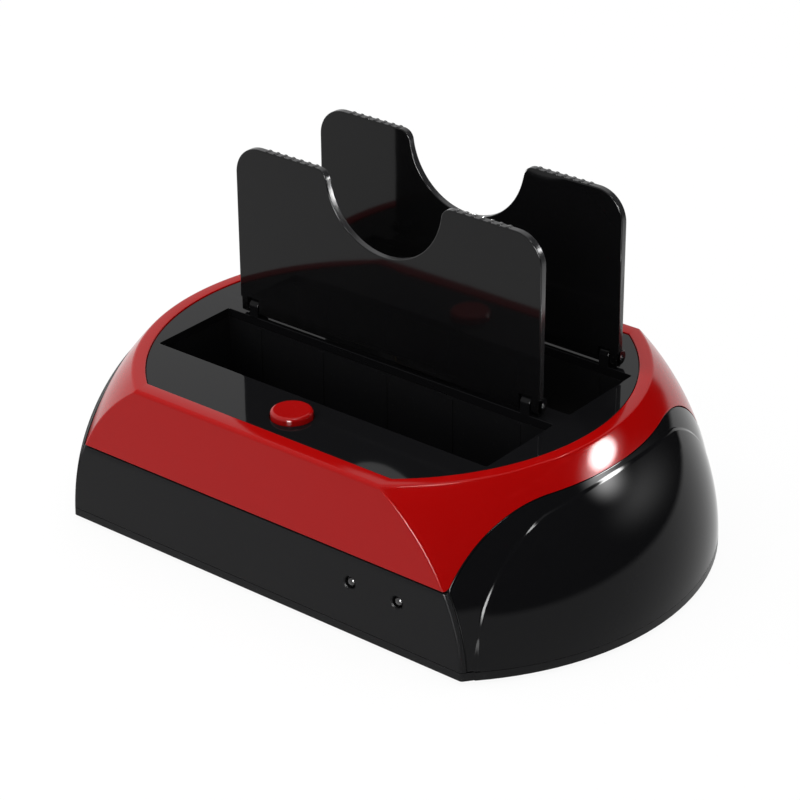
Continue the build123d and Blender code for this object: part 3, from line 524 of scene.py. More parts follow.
def lathe(name: str, profile: Sequence[Flat], steps: int, turn: Matrix) -> bpy.types.Object:
    """Spin a profile about an upright axis.

    Args:
        name: Name of the object.
        profile: Radius and height of each point in millimetres. It is closed where both of its
            ends stand off the axis.
        steps: Facets round the axis.
        turn: Matrix in millimetres that places the result.

    Returns:
        The new object.
    """
    points: list[Point] = []
    faces: list[list[int]] = []
    rows: list[list[int]] = []
    for radius, height in profile:
        if radius < ON_AXIS:
            rows.append([len(points)] * steps)
            points.append((0.0, 0.0, height))
            continue
        rows.append(list(range(len(points), len(points) + steps)))
        for step in range(steps):
            angle = 2 * math.pi * step / steps
            points.append((radius * math.cos(angle), radius * math.sin(angle), height))
    closed = profile[0][0] > ON_AXIS and profile[-1][0] > ON_AXIS
    for low, high in list(zip(rows, rows[1:])) + ([(rows[-1], rows[0])] if closed else []):
        for step in range(steps):
            ahead = (step + 1) % steps
            face = list(dict.fromkeys([low[step], low[ahead], high[ahead], high[step]]))
            if len(face) > 2:
                faces.append(face)
    spots = np.array([tuple(turn @ Vector(p)) for p in points])
    return new_object(name, in_frame(spots), faces)


def sheet_of(name: str, loops: Sequence[Sequence[Flat]], thick: float, edge: float,
             place: Matrix) -> bpy.types.Object:
    """A flat sheet cut to closed loops, the first outside and the rest holes.

    Args:
        name: Name of the object.
        loops: Closed outlines in millimetres.
        thick: Thickness in millimetres.
        edge: Radius of the rounded edges in millimetres.
        place: Matrix in millimetres from the sheet's own middle plane to the dock.

    Returns:
        The new object.
    """
    curve = bpy.data.curves.new(name, "CURVE")
    curve.dimensions = "2D"
    curve.fill_mode = "BOTH"
    curve.extrude = thick / 2 - edge
    curve.bevel_depth = edge
    curve.bevel_resolution = 3
    curve.offset = -edge
    for loop in loops:
        spline = curve.splines.new("POLY")
        spline.points.add(len(loop) - 1)
        for spot, (x, y) in zip(spline.points, loop):
            spot.co = (x, y, 0.0, 1.0)
        spline.use_cyclic_u = True
    flat = settle(placed(name, curve))
    rise = Matrix.Translation((0, 0, FOOT_RISE))
    flat.data.transform(Matrix.Scale(MM, 4) @ rise @ place)
    mend(flat.data, 40.0, drop_slivers=False)
    weigh = flat.modifiers.new("flat_shading", "WEIGHTED_NORMAL")
    weigh.weight = 90
    weigh.keep_sharp = True
    return settle(flat)


def arc(centre: Flat, radius: float, start: float, end: float, steps: int) -> list[Flat]:
    """Points on an arc, angles in degrees, both ends included."""
    turns = (math.radians(start + (end - start) * i / steps) for i in range(steps + 1))
    return [(centre[0] + radius * math.cos(t), centre[1] + radius * math.sin(t)) for t in turns]


def eased(count: int, margin: float) -> np.ndarray:
    """Values from 0 to 1 with an extra one close to each end, so that shading stays inside."""
    return np.concatenate([[0.0], np.linspace(margin, 1.0 - margin, count), [1.0]])


def evenly(line: np.ndarray, count: int) -> np.ndarray:
    """Points at even steps along a line of points."""
    gaps = np.concatenate([[0.0], np.cumsum(np.hypot(*np.diff(line, axis=0).T))])
    even = np.linspace(0.0, gaps[-1], count)
    return np.column_stack([np.interp(even, gaps, line[:, i]) for i in (0, 1)])


def unit(vector: np.ndarray) -> np.ndarray:
    """A vector at length 1."""
    return vector / max(float(np.linalg.norm(vector)), 1e-12)


def ring_solid(name: str, rows: Sequence[np.ndarray]) -> bpy.types.Object:
    """A closed ring from rows in millimetres that each run once round, the last joined to
    the first."""
    count = len(rows[0])
    faces = []
    for index in range(len(rows)):
        low, high = index * count, ((index + 1) % len(rows)) * count
        for step in range(count):
            ahead = (step + 1) % count
            faces.append((low + step, low + ahead, high + ahead, high + step))
    return new_object(name, in_frame(np.concatenate(rows)), faces)


def skin_solid(name: str, outer: np.ndarray, inner: np.ndarray, lip: float,
               sharp_angle: float = SHARP, foot_lip: float | None = None) -> bpy.types.Object:
    """A closed wall between two grids of points, with its rim rounded on the outer side.

    Args:
        name: Name of the object.
        outer: Outer grid in millimetres, rows by columns by 3.
        inner: Inner grid of the same shape.
        lip: Radius of the rounded rim in millimetres.
        sharp_angle: Edges past this many degrees are sharp.
        foot_lip: Radius along the last row, where it is another one.

    Returns:
        The new object.
    """
    rows, columns = outer.shape[:2]
    lips = np.full(rows, lip)
    lips[-1] = lip if foot_lip is None else foot_lip
    loop = ([(0, c) for c in range(columns)] + [(r, columns - 1) for r in range(1, rows)]
            + [(rows - 1, c) for c in range(columns - 2, -1, -1)]
            + [(r, 0) for r in range(rows - 2, 0, -1)])
    points = list(outer.reshape(-1, 3))
    depth = outer - inner
    depth = depth / np.linalg.norm(depth, axis=2, keepdims=True)
    shift = np.zeros_like(outer)
    for r, c in loop:
        inward = np.zeros(3)
        if r in (0, rows - 1):
            inward += unit(outer[1 if r == 0 else -2, c] - outer[r, c])
        if c in (0, columns - 1):
            inward += unit(outer[r, 1 if c == 0 else -2] - outer[r, c])
        inward = inward - depth[r, c] * float(inward @ depth[r, c])
        at_corner = r in (0, rows - 1) and c in (0, columns - 1)
        shift[r, c] = inward if at_corner else unit(inward)
        points[r * columns + c] = outer[r, c] + shift[r, c] * lips[r]
    bands = [[r * columns + c for r, c in loop]]
    rim_steps = 4
    for step in range(1, rim_steps + 1):
        angle = HALF_PI * step / rim_steps
        bands.append(list(range(len(points), len(points) + len(loop))))
        points += [outer[r, c] + shift[r, c] * lips[r] * (1 - math.sin(angle))
                   - depth[r, c] * lips[r] * (1 - math.cos(angle)) for r, c in loop]
    base = len(points)
    bands.append([base + r * columns + c for r, c in loop])
    points += list(inner.reshape(-1, 3))
    faces: list[tuple[int, ...]] = []
    for r in range(rows - 1):
        for c in range(columns - 1):
            a = r * columns + c
            faces.append((a, a + 1, a + columns + 1, a + columns))
            faces.append((base + a, base + a + columns, base + a + columns + 1, base + a + 1))
    for near, far in zip(bands, bands[1:]):
        for index in range(len(loop)):
            ahead = (index + 1) % len(loop)
            faces.append((near[index], far[index], far[ahead], near[ahead]))
    return new_object(name, in_frame(np.array(points)), faces, sharp_angle)


def cut(made: bpy.types.Object, tools: Sequence[bpy.types.Object],
        sharp_angle: float = SHARP) -> bpy.types.Object:
    """Cut tool shapes out of an object.

    Args:
        made: The object to cut.
        tools: Closed shapes, removed afterwards.
        sharp_angle: Edges past this many degrees are sharp.

    Returns:
        The same object, cut.
    """
    for tool in tools:
        saw = made.modifiers.new("cut", "BOOLEAN")
        saw.operation = "DIFFERENCE"
        saw.solver = "EXACT"
        saw.object = tool
    done = settle(made)
    for tool in tools:
        bpy.data.objects.remove(tool)
    smooth(done.data, sharp_angle)
    return done


def box_shape(name: str, low: Point, high: Point) -> bpy.types.Object:
    """A plain box between two corners in millimetres, used only as a cutting tool."""
    spans = list(zip(low, high))
    points = np.array([(x, y, z) for z in spans[2] for y in spans[1] for x in spans[0]])
    faces = [(0, 2, 3, 1), (4, 5, 7, 6), (0, 1, 5, 4), (2, 6, 7, 3), (0, 4, 6, 2), (1, 3, 7, 5)]
    return new_object(name, in_frame(points), faces)


# ---------------------------------------------------------------- geometry node trees


class Repeater:
    """Geometry Nodes trees for what repeats on the dock."""

    @staticmethod
    def _start(name: str, own: dict[str, tuple[str, object]]
               ) -> tuple[Wiring, bpy.types.NodeOutputs]:
        """A tree with the inputs that every row has and some of its own."""
        return new_group("GeometryNodeTree", name, {"Geometry": "NodeSocketGeometry"}, {
            "Count": ("NodeSocketInt", 4), "Pitch": (FLOAT, 0.001),
            "Start": ("NodeSocketVector", (0.0, 0.0, 0.0)),
            "Finish": ("NodeSocketMaterial", None), **own})

    @staticmethod
    def _spread(wires: Wiring, count: bpy.types.NodeSocket, pitch: bpy.types.NodeSocket,
                item: bpy.types.NodeSocket) -> bpy.types.NodeSocket:
        """Real copies of an item, spaced along X from the origin on."""
        step = wires.out("ShaderNodeCombineXYZ", "Vector", {"X": pitch})
        line = wires.out("GeometryNodeMeshLine", "Mesh", {"Count": count, "Offset": step})
        row = wires.out("GeometryNodeInstanceOnPoints", "Instances",
                        {"Points": line, "Instance": item})
        return wires.out("GeometryNodeRealizeInstances", "Geometry", {"Geometry": row})

    @staticmethod
    def _end(wires: Wiring, row: bpy.types.NodeSocket, start: bpy.types.NodeSocket,
             finish: bpy.types.NodeSocket) -> bpy.types.NodeTree:
        """Set a row in its place, paint it and close the tree."""
        shifted = wires.out("GeometryNodeTransform", "Geometry",
                            {"Geometry": row, "Translation": start})
        painted = wires.out("GeometryNodeSetMaterial", "Geometry",
                            {"Geometry": shifted, "Material": finish})
        wires.add("NodeGroupOutput", {"Geometry": painted})
        return wires.tree

    @classmethod
    @cache
    def rib_row(cls) -> bpy.types.NodeTree:
        """A row of lying round ribs, spaced along X, each running along Y."""
        wires, give = cls._start("rib_row", {"Radius": (FLOAT, 0.0005), "Length": (FLOAT, 0.002)})
        rib = wires.out("GeometryNodeMeshCylinder", "Mesh", {
            "Vertices": 16, "Radius": give["Radius"], "Depth": give["Length"]})
        lying = wires.out("GeometryNodeTransform", "Geometry",
                          {"Geometry": rib, "Rotation": (HALF_PI, 0.0, 0.0)})
        row = cls._spread(wires, give["Count"], give["Pitch"], lying)
        shaded = wires.out("GeometryNodeSetShadeSmooth", "Geometry", {"Geometry": row})
        return cls._end(wires, shaded, give["Start"], give["Finish"])

    @classmethod
    @cache
    def blade_row(cls) -> bpy.types.NodeTree:
        """A row of flat blades along X, such as socket contacts."""
        wires, give = cls._start("blade_row", {"Size": ("NodeSocketVector", (MM, MM, MM))})
        blade = wires.out("GeometryNodeMeshCube", "Mesh", {"Size": give["Size"]})
        row = cls._spread(wires, give["Count"], give["Pitch"], blade)
        return cls._end(wires, row, give["Start"], give["Finish"])

    @staticmethod
    def run(name: str, tree: bpy.types.NodeTree, values: dict[str, object]) -> bpy.types.Object:
        """Run a tree with its inputs set and keep the plain mesh.

        Args:
            name: Name of the object.
            tree: The tree.
            values: Input values by the inputs' names.

        Returns:
            The object with a plain mesh.
        """
        made = placed(name, bpy.data.meshes.new(name))
        modifier = made.modifiers.new("repeat", "NODES")
        modifier.node_group = tree
        for item in tree.interface.items_tree:
            if item.item_type == "SOCKET" and item.in_out == "INPUT" and item.name in values:
                modifier[item.identifier] = values[item.name]
        return settle(made)


# ---------------------------------------------------------------- the casing's form


@dataclass(frozen=True)
class CasingForm:
    """The dome of revolution with flat front and back that all outer pieces share.

    Attributes:
        half_depth: Half of the casing's depth.
        height: Height of the crown.
        base: Plan radius at the base.
        crown: Plan radius at the crown.
        flank: Radius of the flank's arc.
        corner: Radius of the upright corners.
        least_corner: Smallest radius that they keep on an inner face.
        crown_round: Radius of the crown's edge.
        seam: Height of the seam between the red shell and the lower case.
        face_count: Columns along each flat.
        arc_count: Columns along each round end.
        fillet_count: Columns round each upright corner.
    """

    half_depth: float = 53.5
    height: float = 44.3
    base: float = 83.2
    crown: float = 65.9
    flank: float = 67.6
    corner: float = 1.0
    least_corner: float = 0.3
    crown_round: float = 1.1
    seam: float = 22.6
    face_count: int = 30
    arc_count: int = 96
    fillet_count: int = 7

    @property
    def _flank_centre(self) -> Flat:
        """Radius and height of the flank arc's centre."""
        chord = math.hypot(self.base - self.crown, self.height)
        drop = math.sqrt(self.flank ** 2 - (chord / 2) ** 2) / chord
        return ((self.base + self.crown) / 2 - drop * self.height,
                self.height / 2 - drop * (self.base - self.crown))

    def radius(self, z: np.ndarray | float, inset: float = 0.0) -> np.ndarray:
        """Plan radius at a height, or of the face moved in by inset."""
        cx, cz = self._flank_centre
        return cx + np.sqrt((self.flank - inset) ** 2 - (np.asarray(z, float) - cz) ** 2)

    def slots(self) -> tuple[np.ndarray, np.ndarray]:
        """The columns round the outline.

        Returns:
            The kind of each column (0 right arc, 1 back right corner, 2 back, 3 back left corner,
            4 left arc, 5 front left corner, 6 front, 7 front right corner) and its place from 0
            to 1 along it.
        """
        kinds: list[float] = []
        places: list[float] = []
        counts = [self.arc_count, self.fillet_count, self.face_count, self.fillet_count] * 2
        for kind, count in enumerate(counts):
            margin = 0.002 if kind % 4 == 0 else 0.0025
            values = eased(count, margin) if kind % 2 == 0 else np.linspace(0, 1, count + 2)[1:-1]
            kinds += [float(kind)] * len(values)
            places += list(values)
        return np.array(kinds), np.array(places)

    def outline(self, radius: np.ndarray | float, half: np.ndarray | float,
                corner: np.ndarray | float) -> np.ndarray:
        """Plan of a round form with two flats, column by column.

        Args:
            radius: Plan radius, or one for each column.
            half: Distance of the flats from the middle, or one for each column.
            corner: Radius of the upright corners, or one for each column.

        Returns:
            Plan points.
        """
        kinds, places = self.slots()
        radius, half, corner = (
            np.broadcast_to(np.asarray(v, float), kinds.shape) for v in (radius, half, corner))
        cx = np.sqrt((radius - corner) ** 2 - (half - corner) ** 2)
        cy = half - corner
        spread = np.arctan2(cy, cx)
        points = np.zeros((len(kinds), 2))
        for kind in range(8):
            pick = kinds == kind
            t, r, a, c = places[pick], radius[pick], spread[pick], cx[pick]
            part, sign = kind % 4, -1 if kind >= 4 else 1
            if part == 0:
                angle = -a + 2 * a * t
                x, y = r * np.cos(angle), r * np.sin(angle)
            elif part == 2:
                x, y = c - 2 * c * t, half[pick]
            else:
                angle = a + (HALF_PI - a) * (t if part == 1 else 1 - t)
                x = (2 - part) * (c + corner[pick] * np.cos(angle))
                y = cy[pick] + corner[pick] * np.sin(angle)
            points[pick] = np.stack([sign * x, sign * y], 1)
        return points

    def row(self, z: np.ndarray | float, inset: float = 0.0) -> np.ndarray:
        """One row of the wall at a height, or at a height of its own for each column."""
        heights = np.broadcast_to(np.asarray(z, float), self.slots()[0].shape)
        corner = max(self.corner - inset, self.least_corner)
        plan = self.outline(self.radius(heights, inset), self.half_depth - inset, corner)
        return np.column_stack([plan, heights])

    def crown_rows(self) -> list[np.ndarray]:
        """Rows over the rounded edge of the crown, each level, from the wall to the level top."""
        round_, (_, cz) = self.crown_round, self._flank_centre
        under, tilt = self.height - self.crown_round, 0.7
        for _ in range(20):
            tilt = math.asin((under + round_ * math.sin(tilt) - cz) / self.flank)
        start = float(self.radius(under + round_ * math.sin(tilt)))
        rows = []
        angles = [np.linspace(0.0, tilt, 4), np.linspace(tilt, HALF_PI, 6)[1:]]
        for angle in np.concatenate(angles):
            z = under + round_ * math.sin(angle)
            bent = start - round_ * (math.cos(tilt) - math.cos(angle))
            inset = round_ * (1 - math.cos(angle))
            plan = self.outline(self.radius(z) if angle <= tilt else bent,
                                self.half_depth - inset, max(self.corner - inset, 0.25))
            rows.append(np.column_stack([plan, np.full(len(plan), z)]))
        return rows


@dataclass(frozen=True)
class CoverLine:
    """Side view of a side cover: upright ends, two shoulder arcs and a level top."""

    half: float = 52.2
    top: float = 38.3
    flat: float = 24.0
    arc: float = 35.4
    seam: float = 22.6

    def height(self, y: np.ndarray, grow: float = 0.0) -> np.ndarray:
        """Height of the cover's upper edge along Y, with the line moved out by grow, and the
        seam's height past its ends."""
        half, top, corner = self.half + grow, self.top + grow, self.seam + grow
        length = math.hypot(half - self.flat, top - corner)
        along = ((self.flat - half) / length, (top - corner) / length)
        reach = math.sqrt(self.arc ** 2 - (length / 2) ** 2)
        cy = (half + self.flat) / 2 - along[1] * reach
        cz = (top + corner) / 2 + along[0] * reach
        side = np.abs(np.asarray(y, float))
        lift = cz + np.sqrt(np.maximum(self.arc ** 2 - (side - cy) ** 2, 0.0))
        return np.where(side <= self.flat, top, np.where(side < half, lift, self.seam))


FORM = CasingForm()
COVER = CoverLine()


# ---------------------------------------------------------------- sub-assemblies


class SubAssembly:
    """A group of pieces that are made and dressed together."""

    def build(self) -> None:
        """Make the pieces and dress them."""
        raise NotImplementedError

    def wear(self, piece: bpy.types.Object, finish: Finish, body: str = CASING,
             stands_for: Sequence[str] = (), material: bpy.types.Material | None = None) -> None:
        """Dress a piece, seat it on its body and hide the CAD nodes that it stands for.

        Args:
            piece: The finished object.
            finish: Its finish.
            body: The CAD body it rides on.
            stands_for: CAD nodes that it replaces.
            material: Another material in place of the finish's own.
        """
        piece.data.materials.clear()
        piece.data.materials.append(material or WARDROBE.get(finish))
        piece.data.polygons.foreach_set("material_index", [0] * len(piece.data.polygons))
        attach(piece, body)
        if stands_for:
            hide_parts(*stands_for)
        log.info("%s: %d faces", piece.name, len(piece.data.polygons))


@dataclass
class RedShell(SubAssembly):
    """The red upper shell with its rim round the top plate.

    Attributes:
        wall: Thickness of its walls.
        rim_radius: Plan radius of the opening for the plate.
        rim_half: Half of the opening's depth.
        rim_corner: Radius of the opening's upright corners.
        ledge: Height of the ledge under the plate.
        ledge_under: Height of the ledge's underside.
        ledge_in: How far the ledge reaches in.
        gap: Gap over the side covers.
        lip: Radius of its rounded edges.
        lip_steps: Rows round each of them.
        wall_rows: Rows up the wall.
    """

    wall: float = 2.4
    rim_radius: float = 62.6
    rim_half: float = 48.7
    rim_corner: float = 0.8
    ledge: float = 41.6
    ledge_under: float = 39.6
    ledge_in: float = 1.6
    gap: float = 0.2
    lip: float = 0.25
    lip_steps: int = 4
    wall_rows: int = 26

    def _foot(self) -> np.ndarray:
        """Height of the shell's lower edge at each column."""
        heights = np.full(len(FORM.slots()[0]), FORM.seam)
        for _ in range(30):
            heights = COVER.height(FORM.row(heights)[:, 1], self.gap)
        return heights

    def _rim(self, inset: float, z: float) -> np.ndarray:
        """One row round the plate's opening, moved in by inset, at a height."""
        plan = FORM.outline(self.rim_radius - inset, self.rim_half - inset, self.rim_corner)
        return np.column_stack([plan, np.full(len(plan), z)])

    def build(self) -> None:
        """Make the shell as one closed ring and dress it."""
        foot, crown = self._foot(), FORM.crown_rows()
        shoulder, low = crown[0][:, 2], foot + self.lip
        bends = [HALF_PI * step / self.lip_steps for step in range(self.lip_steps + 1)]
        rows = [FORM.row(foot, self.wall)]
        rows += [FORM.row(foot + self.lip * (1 - math.sin(a)), self.lip * (1 - math.sin(a)))
                 for a in bends[:-1]]
        rows += [FORM.row(low + (shoulder - low) * t) for t in eased(self.wall_rows, 0.004)]
        rows += crown[1:]
        rows += [self._rim(self.lip * (math.sin(a) - 1), FORM.height - self.lip * (1 - math.cos(a)))
                 for a in bends]
        rows += [self._rim(0.0, self.ledge), self._rim(self.ledge_in, self.ledge),
                 self._rim(self.ledge_in, self.ledge_under), FORM.row(self.ledge_under, self.wall)]
        shell = ring_solid("upper_shell_piece", rows)
        self.wear(shell, Finish.SHELL_RED, stands_for=["upper_shell"])


@dataclass
class LowerCase(SubAssembly):
    """The black front and back walls with their holes, and the side walls behind the covers.

    Attributes:
        wall: Thickness of the front and back walls.
        foot: Height of their lower edge.
        gap: Gap under the red shell.
        lip: Radius of their rounded edges.
        cover_end: How far forwards and back the side covers reach.
        backing_inset: How far the side walls stand in from the dome.
        backing: Thickness of the side walls.
        rows: Rows up a wall.
        arc_steps: Columns over the dome's part of a wall's end.
        lamp_hole: Radius of a lamp's hole.
        lamp_lead_in: Width of the hole's lead-in.
        lamp_height: Height of the lamps.
        lamp_places: Where they stand along X.
        socket_edge: Gap round a socket.
        window_reach: Near and far end of a window along Y.
        rocker: Middle of the rocker's window along X and Z.
        rocker_half: Half of its width and half of its height.
    """

    wall: float = 2.4
    foot: float = 2.26
    gap: float = 0.45
    lip: float = 0.16
    cover_end: float = 52.4
    backing_inset: float = 2.7
    backing: float = 1.6
    rows: int = 14
    arc_steps: int = 4
    lamp_hole: float = 1.6
    lamp_lead_in: float = 0.35
    lamp_height: float = 14.4
    lamp_places: Flat = (29.8, 44.4)
    socket_edge: float = 0.25
    window_reach: Flat = (49.0, 56.0)
    rocker: Flat = (38.6, 12.4)
    rocker_half: Flat = (6.8, 4.5)

    def _panel(self, name: str, side: int) -> bpy.types.Object:
        """The front (side -1) or back (side 1) wall with its rounded ends."""
        levels = self.foot + (FORM.seam - self.gap - self.foot) * eased(self.rows, 0.01)
        outer, inner = (np.array([self._strip(float(z), inset, side) for z in levels])
                        for inset in (0.0, self.wall))
        return skin_solid(name, outer, inner, self.lip)

    def _strip(self, z: float, inset: float, side: int) -> np.ndarray:
        """One level of a wall, from one cover's edge to the other."""
        radius = float(FORM.radius(z, inset))
        half = FORM.half_depth - inset
        corner = max(FORM.corner - inset, FORM.least_corner)
        cx = math.sqrt((radius - corner) ** 2 - (half - corner) ** 2)
        bend = math.degrees(math.atan2(half - corner, cx))
        end = math.degrees(math.asin(min((self.cover_end - inset * 0.6) / radius, 1.0)))
        right = [(radius * math.cos(math.radians(a)), radius * math.sin(math.radians(a)))
                 for a in np.linspace(end, bend, self.arc_steps)]
        right += arc((cx, half - corner), corner, bend, 90.0, 8)[1:]
        flat = [(cx - 2 * cx * t, half) for t in eased(28, 0.002)[1:-1]]
        plan = right + flat + [(-x, y) for x, y in reversed(right)]
        return np.array([(-side * x, side * y, z) for x, y in plan])

    def _backing(self, name: str, side: int) -> bpy.types.Object:
        """The upright wall behind one cover."""
        outer, inner = [], []
        for z in np.linspace(self.foot, FORM.seam - self.gap, 6):
            for inset, store in ((self.backing_inset, outer),
                                 (self.backing_inset + self.backing, inner)):
                radius = float(FORM.radius(z, inset))
                end = math.asin((self.cover_end - 3.0) / radius)
                store.append([(side * radius * math.cos(a), side * radius * math.sin(a), z)
                              for a in np.linspace(-end, end, 40)])
        return skin_solid(name, np.array(outer), np.array(inner), 0.1)

    def _lamp_cutter(self, x: float) -> bpy.types.Object:
        """A round hole through the front wall with a small lead-in."""
        r, lead, over, deep = self.lamp_hole, self.lamp_lead_in, -1.0, 6.0
        profile = [(0.0, over), (r + lead, over), (r + lead, 0.0), (r, lead), (r, deep),
                   (0.0, deep)]
        turn = Matrix.Translation((x, -FORM.half_depth, self.lamp_height)) @ turned(-90.0, "X")
        return lathe("lamp_cutter", profile, 40, turn)

    def _window(self, low: Sequence[float], high: Sequence[float]) -> bpy.types.Object:
        """A window in the back wall between two corners' X and Z."""
        near, far = self.window_reach
        return box_shape("window_cutter", (low[0], near, low[-1]), (high[0], far, high[-1]))

    def build(self) -> None:
        """Make the walls, cut their holes and dress them."""
        lamps = [self._lamp_cutter(x) for x in self.lamp_places]
        front = cut(self._panel("front_wall", -1), lamps)
        rise, windows = np.array([0.0, 0.0, FOOT_RISE]), []
        for node in ("usb_shell", "esata_socket", "dc_inlet"):
            low, high = (np.array(v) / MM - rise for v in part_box(node))
            windows.append(self._window(low - self.socket_edge, high + self.socket_edge))
        middle, half = np.array(self.rocker), np.array(self.rocker_half)
        windows.append(self._window(middle - half, middle + half))
        back = cut(self._panel("back_wall", 1), windows)
        sides = [self._backing("side_wall", side) for side in (-1, 1)]
        case = joined("lower_case_piece", [front, back, *sides])
        self.wear(case, Finish.CASE_BLACK, stands_for=["lower_case"])


@dataclass
class SideCover(SubAssembly):
    """A gloss cover over one end of the dome, with its swelling.

    Attributes:
        side: 1 for the right end, -1 for the left.
        foot: Height of the cover's lower edge.
        wall: Its thickness.
        step: Half of the width of the crease round the swelling.
        lip: Radius of its rounded edges.
        foot_lip: The same along its foot.
        shoulder: Height of the crease over the dome.
        bulge_reach: How far out the swelling reaches at its foot.
        bulge_axis: How far out the swelling's axis stands.
        bulge_arc: Radius of its upright arc.
        bulge_raise: How far it stands over the dome at the top.
        columns: Columns from the front foot to the back foot.
        foot_share: Where the foot line runs, as a share of the crease's Y.
        crease_shares: The crease's places, as shares of the half depth and of the height.
    """

    side: int = 1
    foot: float = 2.28
    wall: float = 2.4
    step: float = 0.32
    lip: float = 0.5
    foot_lip: float = 0.1
    shoulder: float = 0.42
    bulge_reach: float = 86.3
    bulge_axis: float = 12.0
    bulge_arc: float = 54.0
    bulge_raise: float = 0.3
    columns: int = 150
    foot_share: float = 0.985
    crease_shares: tuple[Flat, ...] = ((0.953, 0.0), (0.933, 0.21), (0.886, 0.393),
                                       (0.736, 0.625), (0.505, 0.788), (0.0, 0.842))

    @staticmethod
    def _circle(a: Flat, b: Flat, c: Flat) -> tuple[float, float, float]:
        """Centre and radius of the circle through three points."""
        (ax, ay), (bx, by), (cx, cy) = a, b, c
        d = 2 * (ax * (by - cy) + bx * (cy - ay) + cx * (ay - by))
        aa, bb, cc = ax * ax + ay * ay, bx * bx + by * by, cx * cx + cy * cy
        ux = (aa * (by - cy) + bb * (cy - ay) + cc * (ay - by)) / d
        uy = (aa * (cx - bx) + bb * (ax - cx) + cc * (bx - ax)) / d
        return ux, uy, math.hypot(ax - ux, ay - uy)

    def _crease(self) -> np.ndarray:
        """Points along the crease from its front foot over the top to its back foot."""
        foot, side, hip, shoulder, neck, top = (
            (y * FORM.half_depth, z * FORM.height) for y, z in self.crease_shares)
        half: list[Flat] = []
        foot_steps = 22
        for a, b, c, steps in ((foot, side, hip, foot_steps), (hip, shoulder, neck, 26),
                               (neck, top, (-neck[0], neck[1]), 24)):
            cy, cz, r = self._circle(a, b, c)
            start = math.atan2(a[1] - cz, a[0] - cy)
            stop = math.atan2(c[1] - cz, c[0] - cy)
            for i in range(steps):
                angle = start + (stop - start) * i / steps
                spot = (cy + r * math.cos(angle), cz + r * math.sin(angle))
                if spot[0] > 0.0:
                    half.append(spot)
        low = np.array(half[:foot_steps])
        half = [p for p in half if p[1] > self.foot + 0.01]
        half.insert(0, (float(np.interp(self.foot, low[:, 1], low[:, 0])), self.foot))
        whole = half + [(0.0, top[1])] + [(-y, z) for y, z in reversed(half)]
        return evenly(np.array(whole), self.columns)

    def _rim(self) -> np.ndarray:
        """Points along the cover's outer edge, matched to the crease, front foot to back foot."""
        ends, bend = 14, 1 - np.cos(np.linspace(0, HALF_PI, 40))
        shoulder = COVER.half - (COVER.half - COVER.flat) * bend
        y = np.concatenate([np.full(ends, COVER.half), shoulder,
                            np.linspace(COVER.flat, 0.0, 20)[1:]])
        z = np.concatenate([np.linspace(self.foot, COVER.seam, ends), COVER.height(y[ends:])])
        z[ends] = COVER.seam
        half = np.column_stack([y, z])
        whole = np.concatenate([half, (half * np.array([-1.0, 1.0]))[::-1][1:]])
        return evenly(whole, self.columns)

    @staticmethod
    def _dome_x(y: np.ndarray, z: np.ndarray, inset: float = 0.0) -> np.ndarray:
        """How far out the dome's face is at a place in side view."""
        return np.sqrt(np.maximum(FORM.radius(z, inset) ** 2 - y ** 2, 1.0))

    def _bulge_x(self, y: np.ndarray, z: np.ndarray, inset: float = 0.0) -> np.ndarray:
        """How far out the swelling's face is at a place in side view."""
        top = self.crease_shares[-1][1] * FORM.height
        foot_r = self.bulge_reach - self.bulge_axis
        top_r = float(FORM.radius(top)) - self.bulge_axis + self.bulge_raise
        length = math.hypot(foot_r - top_r, top)
        reach = math.sqrt(self.bulge_arc ** 2 - (length / 2) ** 2)
        cr = (foot_r + top_r) / 2 - top / length * reach
        cz = top / 2 - (foot_r - top_r) / length * reach
        radius = cr + np.sqrt((self.bulge_arc - inset) ** 2 - (z - cz) ** 2)
        return self.bulge_axis + np.sqrt(np.maximum(radius ** 2 - y ** 2, 1.0))

    def build(self) -> None:
        """Make the cover from its rim over the crease to its foot line, and dress it."""
        crease, rim = self._crease(), self._rim()
        along = np.gradient(crease, axis=0)
        normal = np.column_stack([along[:, 1], -along[:, 0]])
        normal /= np.linalg.norm(normal, axis=1, keepdims=True)
        outwards = np.sign(np.sum(normal * (crease - np.array([0.0, 12.0])), axis=1))
        normal *= outwards[:, None]
        foot = np.column_stack([crease[:, 0] * self.foot_share, np.full(self.columns, self.foot)])
        near, far = crease + normal * self.step, crease - normal * self.step
        for line in (near, far):
            line[:, 1] = np.maximum(line[:, 1], self.foot)
        rows: list[tuple[np.ndarray, float]] = []
        for share in eased(10, 0.02):
            rows.append((rim + (near - rim) * share, 0.0))
        for share in np.linspace(0.0, 1.0, 9)[1:-1]:
            rows.append((near + (far - near) * share, share * share * (3 - 2 * share)))
        for share in np.concatenate([eased(10, 0.01) * 0.1, 0.1 + 0.9 * eased(26, 0.01)[1:]]):
            rows.append((far + (foot - far) * share, 1.0 + (1.0 - share) ** 5))
        y, z = crease.T
        short = self.shoulder - (self._bulge_x(y, z) - self._dome_x(y, z))
        outer, inner = [], []
        for plan, level in rows:
            blend, lift = min(level, 1.0), short * (level if level < 1.0 else level - 1.0)
            for inset, store in ((0.0, outer), (self.wall, inner)):
                y, z = plan.T
                dome, bulge = self._dome_x(y, z, inset), self._bulge_x(y, z, inset)
                x = dome * (1 - blend) + bulge * blend + lift
                store.append(np.column_stack([self.side * x, y, z]))
        name = "side_cover_right" if self.side > 0 else "side_cover_left"
        cover = skin_solid(f"{name}_piece", np.array(outer), np.array(inner), self.lip, 60.0,
                           self.foot_lip)
        self.wear(cover, Finish.GLOSS_BLACK, stands_for=[name])


